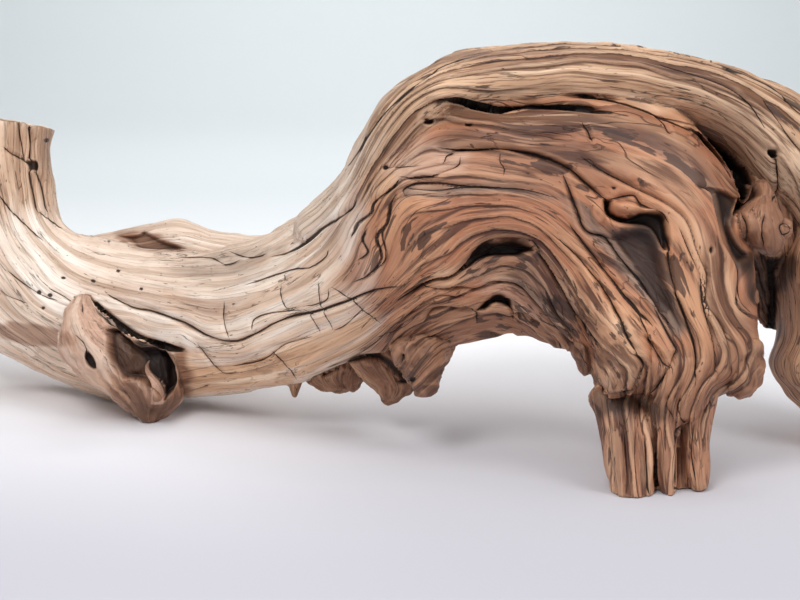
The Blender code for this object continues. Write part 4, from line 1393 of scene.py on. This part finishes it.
        # Painted shade: the hollows and holes and the bottom of the traced cracks are turned to the pit
        # colour.
        pit_shade = calculate("MAXIMUM", ramp(attribute(self.tree, "dark"), 0.10, 0.85), crack)
        pit = mix_colours(pale, (*from_screen(PIT), 1), (*from_screen(PALE_PIT), 1))
        self.paint(times(pit_shade, 0.95), pit)
        self.stand_out(crack, -1.2)


def weathered_wood():
    """Wood coloured layer by layer, with rings, fibres, stains and cracks along the grain, painted shade in
    ledge lines, furrows, cracks and hollows, and painted highlight on ledge lips and crests.
    """
    material = bpy.data.materials.new("weathered_wood")
    material.use_nodes = True
    tree = material.node_tree
    wood = Wood(tree)
    wood.lay_tones()
    wood.draw_ledges()
    wood.draw_checks()
    wood.stain_and_crack()
    surface = tree.nodes["Principled BSDF"].inputs
    tree.links.new(wood.tone, surface["Base Color"])
    tree.links.new(ramp(wood.streaks, 0.3, 0.7, 0.62, 0.46), surface["Roughness"])
    surface["Specular IOR Level"].default_value = 0.35
    bump = node(tree, "ShaderNodeBump", {"Height": wood.height, "Strength": 0.9, "Distance": 0.0018})
    tree.links.new(bump.outputs[0], surface["Normal"])
    return material


def slices(skin, material):
    """The skin in slices along X, none larger than PIECE_TRIANGLES triangles, shaded as one."""
    skin.mesh.calc_loop_triangles()
    triangles = np.empty(len(skin.mesh.loop_triangles) * 3, dtype=np.int32)
    skin.mesh.loop_triangles.foreach_get("vertices", triangles)
    triangles = triangles.reshape(-1, 3)
    middle = skin.points[triangles, 0].mean(axis=1)
    count = math.ceil(len(triangles) / PIECE_TRIANGLES)
    order = np.argsort(middle, kind="stable")
    names = ("dark", "stain", "edge", "relief", "level", "pale", "trace", "traced", "lively")
    fields = {name: getattr(skin, name) for name in names}
    shades = dict(zip(("middle", "deep", "bright"), skin.colours))
    for number, chosen in enumerate(np.array_split(order, count)):
        used, faces = np.unique(triangles[chosen], return_inverse=True)
        mesh = mesh_of(f"wood_{number + 1}", skin.points[used], faces.reshape(-1, 3))
        mesh.shade_smooth()
        mesh.normals_split_custom_set_from_vertices(skin.normals[used].tolist())
        for name, values in fields.items():
            field = mesh.attributes.new(name, "FLOAT", "POINT")
            field.data.foreach_set("value", values[used].astype(np.float32))
        grain = mesh.attributes.new("grain", "FLOAT_VECTOR", "POINT")
        grain.data.foreach_set("vector", skin.grain[used].astype(np.float32).ravel())
        for name, values in shades.items():
            rgba = np.hstack((values[used], np.ones((len(used), 1)))).astype(np.float32)
            mesh.attributes.new(name, "FLOAT_COLOR", "POINT").data.foreach_set("color", rgba.ravel())
        mesh.materials.append(material)
        piece = bpy.data.objects.new(mesh.name, mesh)
        bpy.context.scene.collection.objects.link(piece)
        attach(piece, "root")
        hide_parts("branch")


def pale_paint():
    """The sweep's material: pale, painted darker in front and brightest under the branch as painted light,
    and faintly glowing far out.
    """
    material = bpy.data.materials.new("pale_sweep")
    material.use_nodes = True
    tree = material.node_tree
    place_on = node(tree, "ShaderNodeNewGeometry").outputs["Position"]
    axes = node(tree, "ShaderNodeSeparateXYZ", {0: place_on}).outputs
    front, under, wall = ((*from_screen(shade), 1) for shade in SWEEP_PAINTS)
    paint = mix_colours(ramp(axes["Y"], *PAINT_JOINS[0]), front, under)
    paint = mix_colours(ramp(axes["Y"], *PAINT_JOINS[1]), paint, wall)
    surface = tree.nodes["Principled BSDF"].inputs
    tree.links.new(paint, surface["Base Color"])
    surface["Roughness"].default_value = 0.9
    from_middle = calculate("MAXIMUM", calculate("ABSOLUTE", axes["X"]), times(axes["Y"], -1.0))
    glow_from, glow_to, strength = GLOW
    glow = ramp(from_middle, glow_from, glow_to, 0.0, strength)
    tree.links.new(glow, surface["Emission Strength"])
    surface["Emission Color"].default_value = (0.90, 0.93, 1.0, 1)
    return material


def lay_sweep():
    """The floor, which rises in a quarter round behind and in front."""
    turns = np.radians(range(10, 91, 10))
    profile = [(SWEEP_FRONT - math.sin(a), 1 - math.cos(a)) for a in turns[::-1]]
    profile += [(y, 0.0) for y in (SWEEP_FRONT, SWEEP_FRONT + 0.2, SWEEP_START - 0.2, SWEEP_START)]
    profile += [(SWEEP_START + math.sin(a), 1 - math.cos(a)) for a in turns]
    sides = (-SWEEP_HALF_WIDTH, SWEEP_HALF_WIDTH)
    points = np.array([(x, y, z - SWEEP_GAP) for x in sides for y, z in profile])
    n = len(profile)
    faces = np.array([(i, i + 1, n + i + 1, n + i) for i in range(n - 1)])
    sweep = bpy.data.objects.new("sweep", mesh_of("sweep", points, faces))
    sweep.data.shade_smooth()
    sweep.data.materials.append(pale_paint())
    bpy.context.scene.collection.objects.link(sweep)


def set_eye():
    """The camera, at the photograph's angle."""
    lens = bpy.data.cameras.new("eye")
    lens.sensor_width = 36
    lens.lens = lens.sensor_width * VIEW_DISTANCE / VIEW_WIDTH
    lens.clip_end = 20
    camera = bpy.data.objects.new("eye", lens)
    turned = Matrix((RIGHT, UP, -INTO)).transposed().to_4x4()
    camera.matrix_world = Matrix.Translation(Vector(EYE)) @ turned
    bpy.context.scene.collection.objects.link(camera)
    bpy.context.scene.camera = camera


def studio():
    """A pale sweep to stand on, soft light from above and the left, and the eye."""
    lay_sweep()
    world = bpy.data.worlds.new("room")
    world.use_nodes = True
    world.node_tree.nodes["Background"].inputs["Color"].default_value = AIR
    world.node_tree.nodes["Background"].inputs["Strength"].default_value = AIR_STRENGTH
    bpy.context.scene.world = world
    for name, lamp in LAMPS.items():
        area_light(name, *lamp)
    set_eye()
    bpy.context.scene.view_settings.view_transform = "Standard"


def area_light(name, place_at, aimed_at, size, power):
    """A round soft light."""
    light = bpy.data.lights.new(name, "AREA")
    light.shape = "DISK"
    light.size = size
    light.energy = power
    lamp = bpy.data.objects.new(name, light)
    lamp.location = place_at
    aim = Vector(aimed_at) - Vector(place_at)
    lamp.rotation_euler = aim.to_track_quat("-Z", "Y").to_euler()
    bpy.context.scene.collection.objects.link(lamp)


LIMBS = all_limbs()


def build():
    """Makes the skin, carves and colours it, lays it into the scene in slices, and sets up the studio."""
    limb_points, limb_faces, limb_grain, limb_numbers = joined(LIMBS)
    skin = Skin(limb_points, limb_faces)
    read_grain(skin, limb_points, limb_faces, limb_grain, limb_numbers)
    from_foot = skin.points - FRONT_FOOT
    lumps = 0.0022 * lattice_noise(from_foot / 0.030, 3) + 0.0010 * lattice_noise(from_foot / 0.012, 4)
    skin.points += skin.normals * lumps[:, None]
    skin.refresh()
    skin.look()
    skin.dark = np.zeros(len(skin.points))
    follow_flow(skin)
    roughen(skin)
    raise_swellings(skin)
    carve_hollows(skin)
    skin.refresh()
    carve_lines(skin)
    skin.refresh()
    bleach(skin)
    weather(skin)
    skin.refresh()
    relief(skin)
    colour(skin)
    slices(skin, weathered_wood())
    studio()


build()
